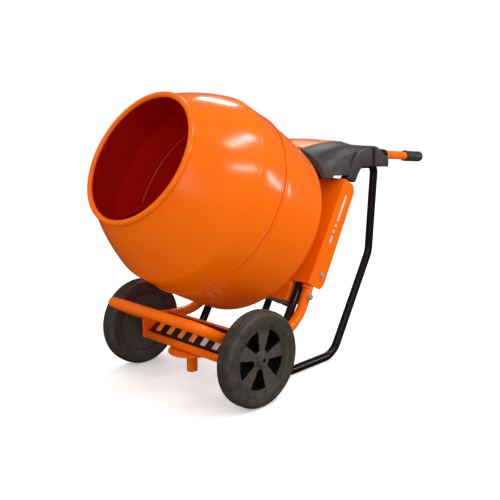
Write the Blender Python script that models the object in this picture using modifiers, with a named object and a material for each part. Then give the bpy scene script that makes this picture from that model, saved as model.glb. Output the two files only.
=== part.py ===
"""Portable electric concrete mixer on two wheels, built piece by piece.

Metres, +Z up.  +X is the operator's left, -Y is the drum's mouth and +Y the handles.
Heights are above the floor and distances back are from the wheel axle.
The drum, gearcase, motor and channel share one leaning frame, the spine: its
local +Z runs out of the drum's mouth, its local +Y runs up the channel.
"""
import math

import bmesh
import bpy
from mathutils import Matrix, Vector

# ---- driving dimensions -------------------------------------------------------------
AXLE_Y = -0.31486                # the axle, so that the origin is the footprint's centre
TILT = math.radians(29.85)       # fall of the drum axis towards its base
MOUTH = (0.0, -0.195, 0.7037)    # centre of the drum's mouth, from the axle
GAP = 0.0003                     # between pieces that touch

WHEEL_R = 0.140
WHEEL_X = 0.2653
TYRE_W = 0.057
AXLE_R = 0.010

LIP_R = 0.0082                   # rolled bead round the mouth
MOUTH_R = 0.1932                 # centre of that bead
CREASE = (0.2925, 0.189)         # radius, distance down from the mouth
SEAM = (0.2955, 0.287)
BASE_EDGE = (0.285, 0.474)
SHEET = 0.0025
SHAFT_R = 0.0175

CHANNEL_X = 0.219                # half width over the side plates
CHANNEL_FRONT = 0.610            # distance down the axis from the mouth
CHANNEL_BACK = 0.683
CHANNEL_TOP = 0.234              # up the channel from the drum axis
CHANNEL_LOW = -0.119

RAIL_R = 0.0158
RAIL_X = 0.206
LEG_R = 0.01325
LEG_X = 0.175
HANDLE_R = 0.014
HANDLE_X = 0.188
BEAM_X = 0.1849

MOTOR_UP = -0.110
MOTOR_R = 0.068


# ---- scene, frames and finishes -----------------------------------------------------
for old in list(bpy.data.objects):
    bpy.data.objects.remove(old, do_unlink=True)

model = bpy.data.collections.new("concrete_mixer")
cutters = bpy.data.collections.new("cutters")
for group in (model, cutters):
    bpy.context.scene.collection.children.link(group)

FINISHES = {                     # colour, roughness, metallic
    "orange": ((0.90, 0.16, 0.004), 0.32, 0.0),
    "black_paint": ((0.010, 0.009, 0.009), 0.30, 0.0),
    "black_plastic": ((0.030, 0.028, 0.030), 0.55, 0.0),
    "wheel_plastic": ((0.020, 0.018, 0.018), 0.45, 0.0),
    "rubber": ((0.045, 0.040, 0.036), 0.80, 0.0),
    "zinc": ((0.62, 0.65, 0.68), 0.35, 1.0),
    "steel": ((0.42, 0.42, 0.43), 0.30, 1.0),
    "aluminium": ((0.60, 0.60, 0.60), 0.45, 1.0),
    "iron": ((0.10, 0.10, 0.11), 0.55, 0.6),
    "copper": ((0.60, 0.25, 0.12), 0.40, 1.0),
    "decal": ((0.012, 0.010, 0.014), 0.40, 0.0),
    "white": ((0.75, 0.78, 0.80), 0.50, 0.0),
    "green": ((0.02, 0.30, 0.05), 0.45, 0.0),
    "red": ((0.55, 0.02, 0.01), 0.45, 0.0),
    "blue": ((0.02, 0.10, 0.45), 0.45, 0.0),
}


def finish(obj, name):
    """Give an object a Principled material of its own."""
    colour, roughness, metallic = FINISHES[name]
    material = bpy.data.materials.new(f"{obj.name}_{name}")
    material.use_nodes = True
    shader = material.node_tree.nodes["Principled BSDF"]
    shader.inputs["Base Color"].default_value = (*colour, 1.0)
    shader.inputs["Roughness"].default_value = roughness
    shader.inputs["Metallic"].default_value = metallic
    obj.data.materials.clear()
    obj.data.materials.append(material)


def from_axle(x, back, height):
    """World point from a distance back of the axle and a height above the floor."""
    return Vector((x, AXLE_Y + back, height))


def frame_at(name, location, turn=(0.0, 0.0, 0.0), parent=None):
    """An empty that carries the pieces of one axis."""
    empty = bpy.data.objects.new(name, None)
    empty.empty_display_size = 0.05
    empty.location = location
    empty.rotation_euler = turn
    empty.parent = parent
    model.objects.link(empty)
    return empty


SPINE = frame_at("drum_axis", from_axle(*MOUTH), (math.radians(90) - TILT, 0.0, 0.0))
SPINE_MATRIX = Matrix.Translation(SPINE.location) @ Matrix.Rotation(math.radians(90) - TILT, 4, "X")


def on_spine(x, up, down):
    """World point of a place on the spine: up the channel, down from the mouth."""
    return SPINE_MATRIX @ Vector((x, up, -down))


# ---- shapes -------------------------------------------------------------------------
def place(name, data, look, parent=None, location=(0, 0, 0), turn=(0, 0, 0), group=model):
    """Link one object, with its place under its parent and its own finish."""
    obj = bpy.data.objects.new(name, data)
    obj.location = location
    obj.rotation_euler = turn
    obj.parent = parent
    group.objects.link(obj)
    if look:
        finish(obj, look)
    return obj


def mesh_from(name, build):
    """A mesh filled by build(bm)."""
    bm = bmesh.new()
    build(bm)
    mesh = bpy.data.meshes.new(name)
    bm.to_mesh(mesh)
    bm.free()
    return mesh


def smooth(obj, angle=35):
    """Shade smooth but keep edges sharper than the angle."""
    obj.data.shade_smooth()
    obj.data.set_sharp_from_angle(angle=math.radians(angle))
    return obj


def bevel(obj, width, segments=2):
    """Round an object's sharp edges."""
    modifier = obj.modifiers.new("rounded_edges", "BEVEL")
    modifier.width = width
    modifier.segments = segments
    modifier.limit_method = "ANGLE"
    modifier.angle_limit = math.radians(40)
    return obj


def block(name, size, look, rounding=0.0, **where):
    """A box of the given size, centred on its own origin."""
    def build(bm):
        bmesh.ops.create_cube(bm, size=1.0)
        bmesh.ops.scale(bm, vec=size, verts=bm.verts)
    obj = place(name, mesh_from(name, build), look, **where)
    if rounding:
        bevel(obj, rounding)
    return obj


def rod(name, radius, low, high, look, sides=32, top_radius=None, **where):
    """A cylinder or cone along local Z from low to high."""
    def build(bm):
        bmesh.ops.create_cone(bm, cap_ends=True, segments=sides, radius1=radius,
                              radius2=radius if top_radius is None else top_radius,
                              depth=high - low)
        bmesh.ops.translate(bm, vec=(0, 0, (low + high) / 2), verts=bm.verts)
    return smooth(place(name, mesh_from(name, build), look, **where))


def turned(name, outline, look, steps=40, **where):
    """A closed outline of (radius, z) points turned about local Z."""
    area = sum(a[0] * b[1] - b[0] * a[1] for a, b in zip(outline, outline[1:] + outline[:1]))
    points = outline if area < 0 else outline[::-1]

    def build(bm):
        ring = [bm.verts.new((radius, 0.0, z)) for radius, z in points]
        for start, end in zip(ring, ring[1:] + ring[:1]):
            bm.edges.new((start, end))
    obj = place(name, mesh_from(name, build), look, **where)
    screw = obj.modifiers.new("turned", "SCREW")
    screw.axis = "Z"
    screw.angle = math.tau
    screw.steps = screw.render_steps = steps
    screw.use_merge_vertices = True
    screw.merge_threshold = 0.00001
    screw.use_smooth_shade = True
    return obj


def spline_on(curve, points, closed):
    """Add one poly spline through 3-D points."""
    spline = curve.splines.new("POLY")
    spline.points.add(len(points) - 1)
    for point, target in zip(spline.points, points):
        point.co = (*target, 1.0)
    spline.use_cyclic_u = closed


def tube(name, points, radius, look, resolution=4, **where):
    """A round bar along a path, with its ends capped."""
    curve = bpy.data.curves.new(name, "CURVE")
    curve.dimensions = "3D"
    curve.bevel_depth = radius
    curve.bevel_resolution = resolution
    curve.use_fill_caps = True
    spline_on(curve, points, False)
    return place(name, curve, look, **where)


def plate(name, outlines, thickness, look, **where):
    """Flat outlines in local XY, the later ones being holes, centred on local Z."""
    curve = bpy.data.curves.new(name, "CURVE")
    curve.dimensions = "2D"
    curve.fill_mode = "BOTH"
    curve.extrude = thickness / 2
    for outline in outlines:
        spline_on(curve, [(x, y, 0.0) for x, y in outline], True)
    return place(name, curve, look, **where)


def as_mesh(obj):
    """Turn a curve object into a mesh object with welded caps."""
    bpy.context.view_layer.update()
    depsgraph = bpy.context.evaluated_depsgraph_get()
    mesh = bpy.data.meshes.new_from_object(obj.evaluated_get(depsgraph))
    bm = bmesh.new()
    bm.from_mesh(mesh)
    bmesh.ops.remove_doubles(bm, verts=bm.verts, dist=0.00001)
    bmesh.ops.recalc_face_normals(bm, faces=bm.faces)
    bm.to_mesh(mesh)
    bm.free()
    name, group = obj.name, obj.users_collection[0]
    solid = bpy.data.objects.new(name + "_solid", mesh)
    solid.parent = obj.parent
    solid.location, solid.rotation_euler = obj.location, obj.rotation_euler
    group.objects.link(solid)
    bpy.data.objects.remove(obj)
    solid.name = name
    return solid


def cut(obj, cutter):
    """Subtract a cutter, which stays as a hidden wire."""
    cutter.hide_render = True
    cutter.display_type = "WIRE"
    modifier = obj.modifiers.new("cut_" + cutter.name, "BOOLEAN")
    modifier.operation = "DIFFERENCE"
    modifier.solver = "EXACT"
    modifier.object = cutter
    return obj


def thicken(obj, thickness, offset=-1.0):
    """Give an open surface a wall."""
    modifier = obj.modifiers.new("wall", "SOLIDIFY")
    modifier.thickness = thickness
    modifier.offset = offset
    modifier.use_even_offset = True
    return obj


def circle(radius, sides=32, centre=(0.0, 0.0), start=0.0):
    """Points round a circle."""
    angles = [start + math.tau * k / sides for k in range(sides)]
    return [(centre[0] + radius * math.cos(a), centre[1] + radius * math.sin(a)) for a in angles]


def rounded_box(half_x, low, high, radius, steps=4):
    """Outline of a box with round corners."""
    corners = [(half_x, high, 0), (-half_x, high, 90), (-half_x, low, 180), (half_x, low, 270)]
    points = []
    for x, y, start in corners:
        cx = x - math.copysign(radius, x)
        cy = y - radius if y == high else y + radius
        for k in range(steps + 1):
            angle = math.radians(start + 90 * k / steps)
            points.append((cx + radius * math.cos(angle), cy + radius * math.sin(angle)))
    return points


def bent_path(corners, radii, steps=6):
    """A path of straight runs through corners, each inner corner bent to its radius."""
    corners = [Vector(corner) for corner in corners]
    points = [corners[0]]
    for before, corner, after, radius in zip(corners, corners[1:], corners[2:], radii):
        towards, away = (before - corner).normalized(), (after - corner).normalized()
        half = towards.angle(away) / 2
        reach = radius / math.tan(half)
        centre = corner + (towards + away).normalized() * radius / math.sin(half)
        start, end = corner + towards * reach - centre, corner + away * reach - centre
        sweep = start.angle(end)
        for k in range(steps + 1):
            share = k / steps
            points.append(centre + (start * math.sin((1 - share) * sweep)
                                    + end * math.sin(share * sweep)) / math.sin(sweep))
    points.append(corners[-1])
    return points


def grid_mesh(rows):
    """An open surface through rows of points."""
    def build(bm):
        verts = [[bm.verts.new(point) for point in row] for row in rows]
        for row, above in zip(verts, verts[1:]):
            for a, b, c, d in zip(row, row[1:], above[1:], above):
                bm.faces.new((a, b, c, d))
    return mesh_from("surface", build)


SIDES = (("left", 1), ("right", -1))


# ---- wheels and axle ----------------------------------------------------------------
TYRE_SECTION = [                 # radius, distance out from the middle of the tread
    (0.0940, -0.0225), (0.0975, -0.0240), (0.1160, -0.0275), (0.1275, -0.0285),
    (0.1352, -0.0235), (0.1400, -0.0150), (0.1400, 0.0150), (0.1352, 0.0235),
    (0.1275, 0.0285), (0.1160, 0.0275), (0.0975, 0.0240), (0.0940, 0.0225),
]
WHEEL_SECTION = [                # moulded centre: rim, web and hub, out from the middle
    (0.0104, -0.0290), (0.0260, -0.0290), (0.0260, -0.0180), (0.0937, -0.0180),
    (0.0937, 0.0215), (0.0860, 0.0215), (0.0845, 0.0130), (0.0245, 0.0130),
    (0.0190, 0.0240), (0.0104, 0.0240),
]
SPOKES = 5
POCKET_SHARE = 0.56              # of each spoke's pitch that is pocket
POCKET_DEPTH = 0.024
SPOKE_START = math.radians(99.4)


def pocket_cutter(name, parent):
    """Five wedge-shaped pockets that leave the spokes between them."""
    outlines = []
    pitch = math.tau / SPOKES
    for k in range(SPOKES):
        middle = SPOKE_START + pitch * (k + 0.5)
        half = pitch * POCKET_SHARE / 2
        outer = [middle + half * (2 * j / 6 - 1) for j in range(7)]
        inner = [middle + 0.62 * half, middle - 0.62 * half]
        outlines.append([(0.0820 * math.cos(a), 0.0820 * math.sin(a)) for a in outer]
                        + [(0.0330 * math.cos(a), 0.0330 * math.sin(a)) for a in inner])
    wedges = plate(name, outlines, 2 * POCKET_DEPTH, None, parent=parent,
                   location=(0, 0, 0.0130), group=cutters)
    return as_mesh(wedges)


for side, sign in SIDES:
    hub = frame_at(f"wheel_{side}_axis", from_axle(sign * WHEEL_X, 0.0, WHEEL_R),
                   (0.0, math.radians(90) * sign, 0.0))
    turned(f"tyre_{side}", TYRE_SECTION, "rubber", 36, parent=hub)
    centre = turned(f"wheel_centre_{side}", WHEEL_SECTION, "wheel_plastic", 36, parent=hub)
    cut(centre, pocket_cutter(f"pockets_{side}", hub))
    turned(f"axle_cap_{side}", [(0.0085, 0.0243), (0.0165, 0.0243), (0.0170, 0.0255),
                                (0.0155, 0.0272), (0.0085, 0.0272)],
           "wheel_plastic", 24, parent=hub)

rod("axle", AXLE_R, -(WHEEL_X + 0.0240), WHEEL_X + 0.0240, "steel", 24,
    location=from_axle(0, 0, WHEEL_R), turn=(0, math.radians(90), 0))


# ---- nose hoop, axle beam and stand spigot ------------------------------------------
RAIL_TOP = on_spine(CHANNEL_X - SHEET - RAIL_R - 0.0010, -0.095, 0.634)
RAIL_LOW = from_axle(RAIL_X, 0.2292, 0.1565)
RAIL_MID = from_axle(RAIL_X, 0.0043, 0.1565)
NOSE = from_axle(RAIL_X, -0.1680, 0.2550)


def mirror_x(point):
    """The same place on the other side."""
    return Vector((-point.x, point.y, point.z))


half_hoop = [RAIL_TOP, RAIL_LOW, RAIL_MID, NOSE]
hoop_corners = half_hoop + [mirror_x(point) for point in reversed(half_hoop)]
tube("nose_hoop", bent_path(hoop_corners, (0.150, 0.380, 0.045, 0.045, 0.380, 0.150)),
     RAIL_R, "orange")

BEAM_T = 0.003
beam_profile = [(-0.050, 0.1125), (-0.050, 0.1280), (0.050, 0.1830), (0.050, 0.1650)]
beam = place("axle_beam", grid_mesh([[(-BEAM_X, back, height) for back, height in beam_profile],
                                     [(BEAM_X, back, height) for back, height in beam_profile]]),
             "orange", location=(0, AXLE_Y, 0))
bevel(thicken(beam, BEAM_T, 1.0), 0.0008, 1)

GUSSET_T = 0.004
gusset_outline = [(-0.054, 0.1118), (0.012, 0.1118), (0.054, 0.1350), (0.054, 0.1460),
                  (0.020, 0.1600), (-0.054, 0.1820)]
for side, sign in SIDES:
    gusset = plate(f"beam_gusset_{side}", [gusset_outline, circle(AXLE_R + GAP, 20, (0, WHEEL_R))],
                   GUSSET_T, "orange", turn=(math.radians(90), 0, math.radians(90)),
                   location=(sign * (BEAM_X + GAP + GUSSET_T / 2), AXLE_Y, 0))

slope = math.atan2(0.055, 0.100)
block("beam_decal", (0.352, 0.092, 0.0008), "decal",
      location=from_axle(0, 0, 0.1555) + Vector((0, -math.sin(slope), math.cos(slope)))
      * (0.0004 + GAP), turn=(slope, 0, 0))

SPIGOT_BACK = -0.014
SPIGOT_R = 0.0165
DISC_LOW, DISC_HIGH = 0.1030, 0.1090
DISC_HOLE_R = SPIGOT_R + 0.0004
turned("spigot_disc", [(DISC_HOLE_R, DISC_LOW), (0.070, DISC_LOW), (0.072, 0.1045),
                       (0.072, 0.1075), (0.070, DISC_HIGH), (DISC_HOLE_R, DISC_HIGH)],
       "orange", 28, location=from_axle(0, SPIGOT_BACK, 0))
turned("spigot_tube", [(SPIGOT_R - 0.003, 0.0400), (SPIGOT_R - 0.001, 0.0400), (SPIGOT_R, 0.0410),
                       (SPIGOT_R, DISC_HIGH + 0.0030), (SPIGOT_R - 0.003, DISC_HIGH + 0.0030)],
       "orange", 28, location=from_axle(0, SPIGOT_BACK, 0))


# ---- black side frames --------------------------------------------------------------
LEG_BENDS = [                    # back, height of the tube's corners, from the top to the front
    (0.5550, 0.6370), (0.6630, 0.6328), (0.6410, 0.3350), (0.4540, LEG_R), (0.1250, LEG_R),
]
TOP_END = on_spine(LEG_X, 0.190, 0.632)
RISER_TOP = on_spine(LEG_X - 0.0045, -0.070, 0.6275)

for side, sign in SIDES:
    corners = [TOP_END] + [from_axle(LEG_X, back, height) for back, height in LEG_BENDS]
    corners.append(RISER_TOP)
    path = bent_path(corners, (0.050, 0.030, 0.080, 0.075, 0.072))
    tube(f"side_frame_{side}", path if sign > 0 else [mirror_x(point) for point in path],
         LEG_R, "black_paint")


# ---- channel and its lower guard ----------------------------------------------------
HALF_GAP = SHEET / 2
side_profile = [(CHANNEL_TOP, 0.0), (CHANNEL_TOP, 0.0455), (0.215, 0.063), (-0.099, 0.073),
                (-0.117, 0.061), (CHANNEL_LOW, 0.0245), (CHANNEL_LOW, 0.0)]
INNER_X = CHANNEL_X - SHEET


def channel_shape(bm):
    """Front plate and two chamfered side plates of one folded sheet."""
    front = [(-INNER_X, CHANNEL_LOW), (INNER_X, CHANNEL_LOW),
             (INNER_X, CHANNEL_TOP), (-INNER_X, CHANNEL_TOP)]
    corners = [bm.verts.new((x, up, -CHANNEL_FRONT - SHEET)) for x, up in front]
    bm.faces.new(corners)
    for first, last, sign in ((corners[2], corners[1], 1), (corners[3], corners[0], -1)):
        rim = [bm.verts.new((sign * INNER_X, up, -CHANNEL_FRONT - SHEET - max(deep - SHEET, 0.001)))
               for up, deep in side_profile[1:-1]]
        face = [first] + rim + [last]
        bm.faces.new(face[::-1] if sign > 0 else face)


channel = place("channel_body", mesh_from("channel", channel_shape), "orange", parent=SPINE)
thicken(channel, SHEET, 1.0)
cut(channel, rod("shaft_hole", 0.0358, -CHANNEL_FRONT - 0.02, -CHANNEL_FRONT + 0.02, None, 32,
                 parent=SPINE, group=cutters))

GUARD_X = 0.152
GUARD_LOW = -0.186
guard_outline = [(-GUARD_X + 0.012, GUARD_LOW), (GUARD_X - 0.012, GUARD_LOW), (GUARD_X, GUARD_LOW + 0.012),
                 (GUARD_X, CHANNEL_LOW - GAP), (-GUARD_X, CHANNEL_LOW - GAP),
                 (-GUARD_X, GUARD_LOW + 0.012)]


def guard_shape(bm):
    """Shallow tray below the channel: a front plate with a flange round its lower edge."""
    front = [bm.verts.new((x, up, -CHANNEL_FRONT - SHEET)) for x, up in guard_outline]
    back = [bm.verts.new((x, up, -0.664)) for x, up in guard_outline]
    bm.faces.new(front)
    count = len(front)
    for k in range(count):
        if k != 3:
            n = (k + 1) % count
            bm.faces.new((front[k], back[k], back[n], front[n]))


guard = place("lower_guard", mesh_from("guard", guard_shape), "orange", parent=SPINE)
thicken(guard, SHEET, 1.0)

BOLT_SPOTS = (("channel_bolt", CHANNEL_X + GAP, on_spine(0, -0.075, 0.655)),
              ("rail_bolt", 0.2218, from_axle(0, 0.2790, 0.2545)))
for stem, out, spot in BOLT_SPOTS:
    for side, sign in SIDES:
        washer = 0.0105 if stem == "rail_bolt" else 0.0085
        turned(f"{stem}_{side}", [(0.0, 0.0), (washer, 0.0), (washer, 0.0016), (0.0068, 0.0016),
                                  (0.0068, 0.0060), (0.0050, 0.0075), (0.0, 0.0075)],
               "zinc", 18, location=(sign * out, spot.y, spot.z),
               turn=(0, math.radians(90) * sign, 0))

for side, sign in SIDES:
    link = [(-0.0040, 0.026), (0.014, 0.020), (0.026, 0.004), (0.024, -0.014), (0.010, -0.028),
            (-0.0255, -0.026)]
    plate(f"rail_plate_{side}", [link], 0.0022, "zinc",
          location=from_axle(sign * 0.1833, 0.2985, 0.2520),
          turn=(math.radians(90), 0, math.radians(90)))


# ---- drum ---------------------------------------------------------------------------
def drum_wall(outer, thickness):
    """Closed section of a wall: the outer line of (radius, down) and its inner copy."""
    inner = []
    count = len(outer)
    for k, (radius, down) in enumerate(outer):
        before, after = outer[max(k - 1, 0)], outer[min(k + 1, count - 1)]
        run = Vector((after[0] - before[0], after[1] - before[1])).normalized()
        inner.append((radius - run.y * thickness, down + run.x * thickness))
    return [(radius, -down) for radius, down in outer + inner[::-1]]


def bowed(start, end, bulge, steps):
    """Points on a shallow arc between two (radius, down) points."""
    run = Vector((end[0] - start[0], end[1] - start[1]))
    side = Vector((run.y, -run.x)).normalized()
    points = []
    for k in range(steps + 1):
        share = k / steps
        lift = 4 * share * (1 - share) * bulge
        points.append((start[0] + run.x * share + side.x * lift, start[1] + run.y * share + side.y * lift))
    return points


lip = [(MOUTH_R + LIP_R * math.sin(math.radians(a)), LIP_R - LIP_R * math.cos(math.radians(a)))
       for a in (-90, -45, 0, 45, 90, 130)]
cone_line = bowed((0.1970, 0.0165), (0.2905, 0.184), 0.0065, 5)
cone_line += [CREASE, (0.2937, 0.196), (0.2955, 0.245), (SEAM[0], SEAM[1] - GAP)]
turned("drum_front_cone", drum_wall(lip + cone_line, SHEET), "orange", 36, parent=SPINE)

pan_line = [(0.2985, SEAM[1]), (0.2990, 0.290), (0.2985, 0.295), (0.2960, 0.298)]
pan_line += bowed((0.2957, 0.303), BASE_EDGE, 0.0020, 3)
pan_line += [(0.2810, 0.489), (0.2730, 0.500), (0.2620, 0.507), (0.2000, 0.527), (0.1200, 0.546),
             (0.0700, 0.556), (SHAFT_R + GAP, 0.557)]
turned("drum_rear_pan", drum_wall(pan_line, SHEET), "orange", 36, parent=SPINE)

BLADE_T = 0.004
BLADE_FROM, BLADE_TO = 0.196, 0.470


def wall_radius(down):
    """Inner radius of the drum between the crease and the base edge."""
    if down < SEAM[1]:
        return 0.2890 + (down - 0.189) / (0.287 - 0.189) * 0.0018
    return 0.2915 - max(down - 0.300, 0.0) * 0.060


def blade_rows(turn):
    """A paddle that stands off the wall and winds back round the drum."""
    rows = []
    steps = 8
    for k in range(steps + 1):
        share = k / steps
        down = BLADE_FROM + (BLADE_TO - BLADE_FROM) * share
        angle = turn + math.radians(-154 - 52 * share)
        wall = wall_radius(down) - 0.0035
        height = 0.010 + 0.042 * math.sin(math.pi * min(1.0, 0.12 + share) ** 0.8)
        rows.append([((wall - height * j / 2) * math.cos(angle),
                      (wall - height * j / 2) * math.sin(angle), -down) for j in range(3)])
    return rows


for letter, turn in (("a", 0.0), ("b", math.pi)):
    blade = place(f"mixing_blade_{letter}", grid_mesh(blade_rows(turn)), "orange", parent=SPINE)
    thicken(blade, BLADE_T, 0.0)

turned("drum_hub", [(SHAFT_R + GAP, -0.5576), (0.060, -0.5600), (0.062, -0.5620), (0.062, -0.5680),
                    (0.034, -0.5700), (0.030, -0.5720), (0.028, -0.5860), (SHAFT_R + GAP, -0.5860)],
       "iron", 28, parent=SPINE)
rod("drum_shaft", SHAFT_R, -0.6350, -0.5400, "steel", 24, parent=SPINE)
plate("drum_nut", [circle(0.0275, 6), circle(SHAFT_R + GAP, 24)], 0.0120, "zinc", parent=SPINE,
      location=(0, 0, -0.5475))


# ---- gear train ---------------------------------------------------------------------
CASE_FRONT = CHANNEL_FRONT + SHEET + GAP
COVER_T = 0.0035
CASE_BACK = 0.6650
WALL = 0.0045

DRUM_TEETH, PINION_B_TEETH, DRUM_MODULE = 48, 12, 0.0030
GEAR_B_TEETH, PINION_A_TEETH, B_MODULE = 45, 12, 0.0020
GEAR_A_TEETH, MOTOR_TEETH, A_MODULE = 45, 12, 0.0050 / 3
SHAFT_B = (-0.0550, -0.0712)
SHAFT_A = (-0.0443, -0.1272)
MOTOR = (0.0, MOTOR_UP)
LAYERS = {"drum": (0.6205, 0.6335), "b": (0.6365, 0.6465), "a": (0.6495, 0.6575)}


def gear_outline(teeth, module, first):
    """Straight-flanked teeth, the first one centred on an angle."""
    pitch = math.tau / teeth
    radius = teeth * module / 2
    corners = ((-0.29, radius - 1.2 * module), (-0.11, radius + 0.92 * module),
               (0.11, radius + 0.92 * module), (0.29, radius - 1.2 * module))
    points = []
    for k in range(teeth):
        for offset, reach in corners:
            angle = first + pitch * (k + offset)
            points.append((reach * math.cos(angle), reach * math.sin(angle)))
    return points


def phase_in_mesh(teeth, first, centre, mate_teeth, mate_centre):
    """First-tooth angle of a gear that meshes with another at rest."""
    line = math.atan2(mate_centre[1] - centre[1], mate_centre[0] - centre[0])
    share = (line - first) * teeth / math.tau
    return line + math.pi - math.tau / mate_teeth * (0.5 - share)


pinion_b_first = phase_in_mesh(DRUM_TEETH, 0.0, (0.0, 0.0), PINION_B_TEETH, SHAFT_B)
pinion_a_first = phase_in_mesh(GEAR_B_TEETH, 0.0, SHAFT_B, PINION_A_TEETH, SHAFT_A)
motor_first = phase_in_mesh(GEAR_A_TEETH, 0.0, SHAFT_A, MOTOR_TEETH, MOTOR)


def gear(name, teeth, module, first, bore, layer, axis):
    """A gear blank with teeth and a bore."""
    low, high = LAYERS[layer]
    return plate(name, [gear_outline(teeth, module, first), circle(bore, 20)], high - low, "steel",
                 parent=axis, location=(0, 0, -(low + high) / 2))


def pinion_shaft(name, teeth, module, first, radius, start, end, layer, axis):
    """A shaft with its pinion cut on it: teeth united with the turned shaft."""
    low, high = LAYERS[layer]
    shaft = rod(name, radius, -end, -start, "steel", 20, parent=axis)
    teeth_block = as_mesh(plate(name + "_teeth", [gear_outline(teeth, module, first)], high - low,
                                None, parent=axis, location=(0, 0, -(low + high) / 2),
                                group=cutters))
    teeth_block.hide_render = True
    teeth_block.display_type = "WIRE"
    modifier = shaft.modifiers.new("teeth", "BOOLEAN")
    modifier.operation = "UNION"
    modifier.solver = "EXACT"
    modifier.object = teeth_block
    return shaft


axis_b = frame_at("layshaft_b_axis", (*SHAFT_B, 0.0), parent=SPINE)
axis_a = frame_at("layshaft_a_axis", (*SHAFT_A, 0.0), parent=SPINE)
axis_m = frame_at("motor_axis", (*MOTOR, 0.0), parent=SPINE)

gear("drum_gear", DRUM_TEETH, DRUM_MODULE, 0.0, SHAFT_R + GAP, "drum", SPINE)
gear("layshaft_b_gear", GEAR_B_TEETH, B_MODULE, 0.0, 0.0078 + GAP, "b", axis_b)
gear("layshaft_a_gear", GEAR_A_TEETH, A_MODULE, 0.0, 0.0058 + GAP, "a", axis_a)
pinion_shaft("layshaft_b", PINION_B_TEETH, DRUM_MODULE, pinion_b_first, 0.0078,
             0.6172, 0.6600, "drum", axis_b)
pinion_shaft("layshaft_a", PINION_A_TEETH, B_MODULE, pinion_a_first, 0.0058,
             0.6172, 0.6600, "b", axis_a)

case_outline = rounded_box(0.112, -0.1760, 0.0980, 0.030)
inner_outline = rounded_box(0.112 - WALL, -0.1760 + WALL, 0.0980 - WALL, 0.0260)
cover = plate("gearcase_cover", [case_outline, circle(0.0358, 32)], COVER_T, "aluminium",
              parent=SPINE, location=(0, 0, -(CASE_FRONT + COVER_T / 2)))
case = as_mesh(plate("gearcase_body", [case_outline], CASE_BACK - CASE_FRONT - COVER_T - GAP,
                     "aluminium", parent=SPINE,
                     location=(0, 0, -(CASE_FRONT + COVER_T + GAP + CASE_BACK) / 2)))
finish(case, "aluminium")
cavity = as_mesh(plate("gearcase_cavity", [inner_outline], 0.6608 - CASE_FRONT, None, parent=SPINE,
                       location=(0, 0, -(0.6608 + CASE_FRONT) / 2), group=cutters))
cut(case, cavity)
cut(case, rod("motor_opening", 0.0165, -0.70, -0.64, None, 24, parent=SPINE,
              location=(*MOTOR, 0.0), group=cutters))

turned("drum_bearing_housing", [(0.0313, -0.6007), (0.0315, -0.5905), (0.0360, -0.5900),
                                (0.0420, -0.6010), (0.0600, -0.6030), (0.0610, -0.6090),
                                (0.0610, -0.6097), (0.0355, -0.6097), (0.0352, -0.6160),
                                (0.0313, -0.6160)][::-1],
       "iron", 24, parent=SPINE)
turned("drum_bearing", [(SHAFT_R + GAP, -0.5990), (0.0310, -0.5990), (0.0310, -0.6150),
                        (SHAFT_R + GAP, -0.6150)], "steel", 24, parent=SPINE)


# ---- motor --------------------------------------------------------------------------
MOTOR_FRONT = CASE_BACK + GAP
SHIELD_BACK = 0.6790
BODY_BACK = 0.7650
FINS = 28


def finned_outline(root, tip, share=0.42):
    """Round body with fins: each fin is a short radial block."""
    points = []
    for k in range(FINS):
        for offset, reach in ((-0.5 * share, root), (-0.36 * share, tip),
                              (0.36 * share, tip), (0.5 * share, root)):
            angle = math.tau * (k + offset) / FINS
            points.append((reach * math.cos(angle), reach * math.sin(angle)))
    return points


turned("motor_end_shield", [(0.0165, -MOTOR_FRONT), (0.0560, -MOTOR_FRONT), (0.0620, -0.6680),
                            (0.0620, -SHIELD_BACK), (0.0165, -SHIELD_BACK)],
       "aluminium", 24, parent=axis_m)
plate("motor_body", [finned_outline(0.0605, MOTOR_R), circle(0.0550, 32)],
      BODY_BACK - SHIELD_BACK - 2 * GAP, "aluminium", parent=axis_m,
      location=(0, 0, -(SHIELD_BACK + BODY_BACK) / 2))
turned("motor_stator", [(0.0360, -0.6860), (0.0547, -0.6860), (0.0547, -0.7580), (0.0360, -0.7580)],
       "copper", 24, parent=axis_m)
turned("motor_rotor", [(0.0083, -0.6880), (0.0350, -0.6880), (0.0350, -0.7560), (0.0083, -0.7560)],
       "iron", 24, parent=axis_m)
pinion_shaft("motor_shaft", MOTOR_TEETH, A_MODULE, motor_first, 0.0080, 0.6480, 0.7960, "a", axis_m)
turned("motor_rear_shield", [(0.0083, -0.7653), (0.0600, -0.7653), (0.0600, -0.7700),
                             (0.0083, -0.7700)], "aluminium", 24, parent=axis_m)


def fan_outline(blades=8):
    """Straight radial vanes round a small hub."""
    points = []
    for k in range(blades):
        for offset, reach in ((-0.30, 0.016), (-0.055, 0.050), (0.055, 0.050), (0.30, 0.016)):
            angle = math.tau * (k + offset) / blades
            points.append((reach * math.cos(angle), reach * math.sin(angle)))
    return points


plate("motor_fan", [fan_outline(), circle(0.0083, 16)], 0.0160, "black_plastic", parent=axis_m,
      location=(0, 0, -0.7850))
COWL_BACK = 0.8150
cowl = turned("motor_fan_cowl", [(0.0620, -0.7665), (0.0645, -0.7665), (0.0645, -0.8050),
                                 (0.0560, -COWL_BACK), (0.0200, -COWL_BACK), (0.0200, -0.8130),
                                 (0.0550, -0.8130), (0.0620, -0.8040)],
              "black_plastic", 28, parent=axis_m)


# ---- hood, handles and controls -----------------------------------------------------
HOOD_T = 0.003
LIP_DOWN, LIP_REACH = 0.5210, 0.2960


def lip_point(angle):
    """A point of the hood's front lip, an arc round the drum's base."""
    x = LIP_REACH * math.sin(math.radians(angle))
    up = LIP_REACH * math.cos(math.radians(angle))
    point = on_spine(x, up, LIP_DOWN)
    return (point.x, point.y - AXLE_Y, point.z)


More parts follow.
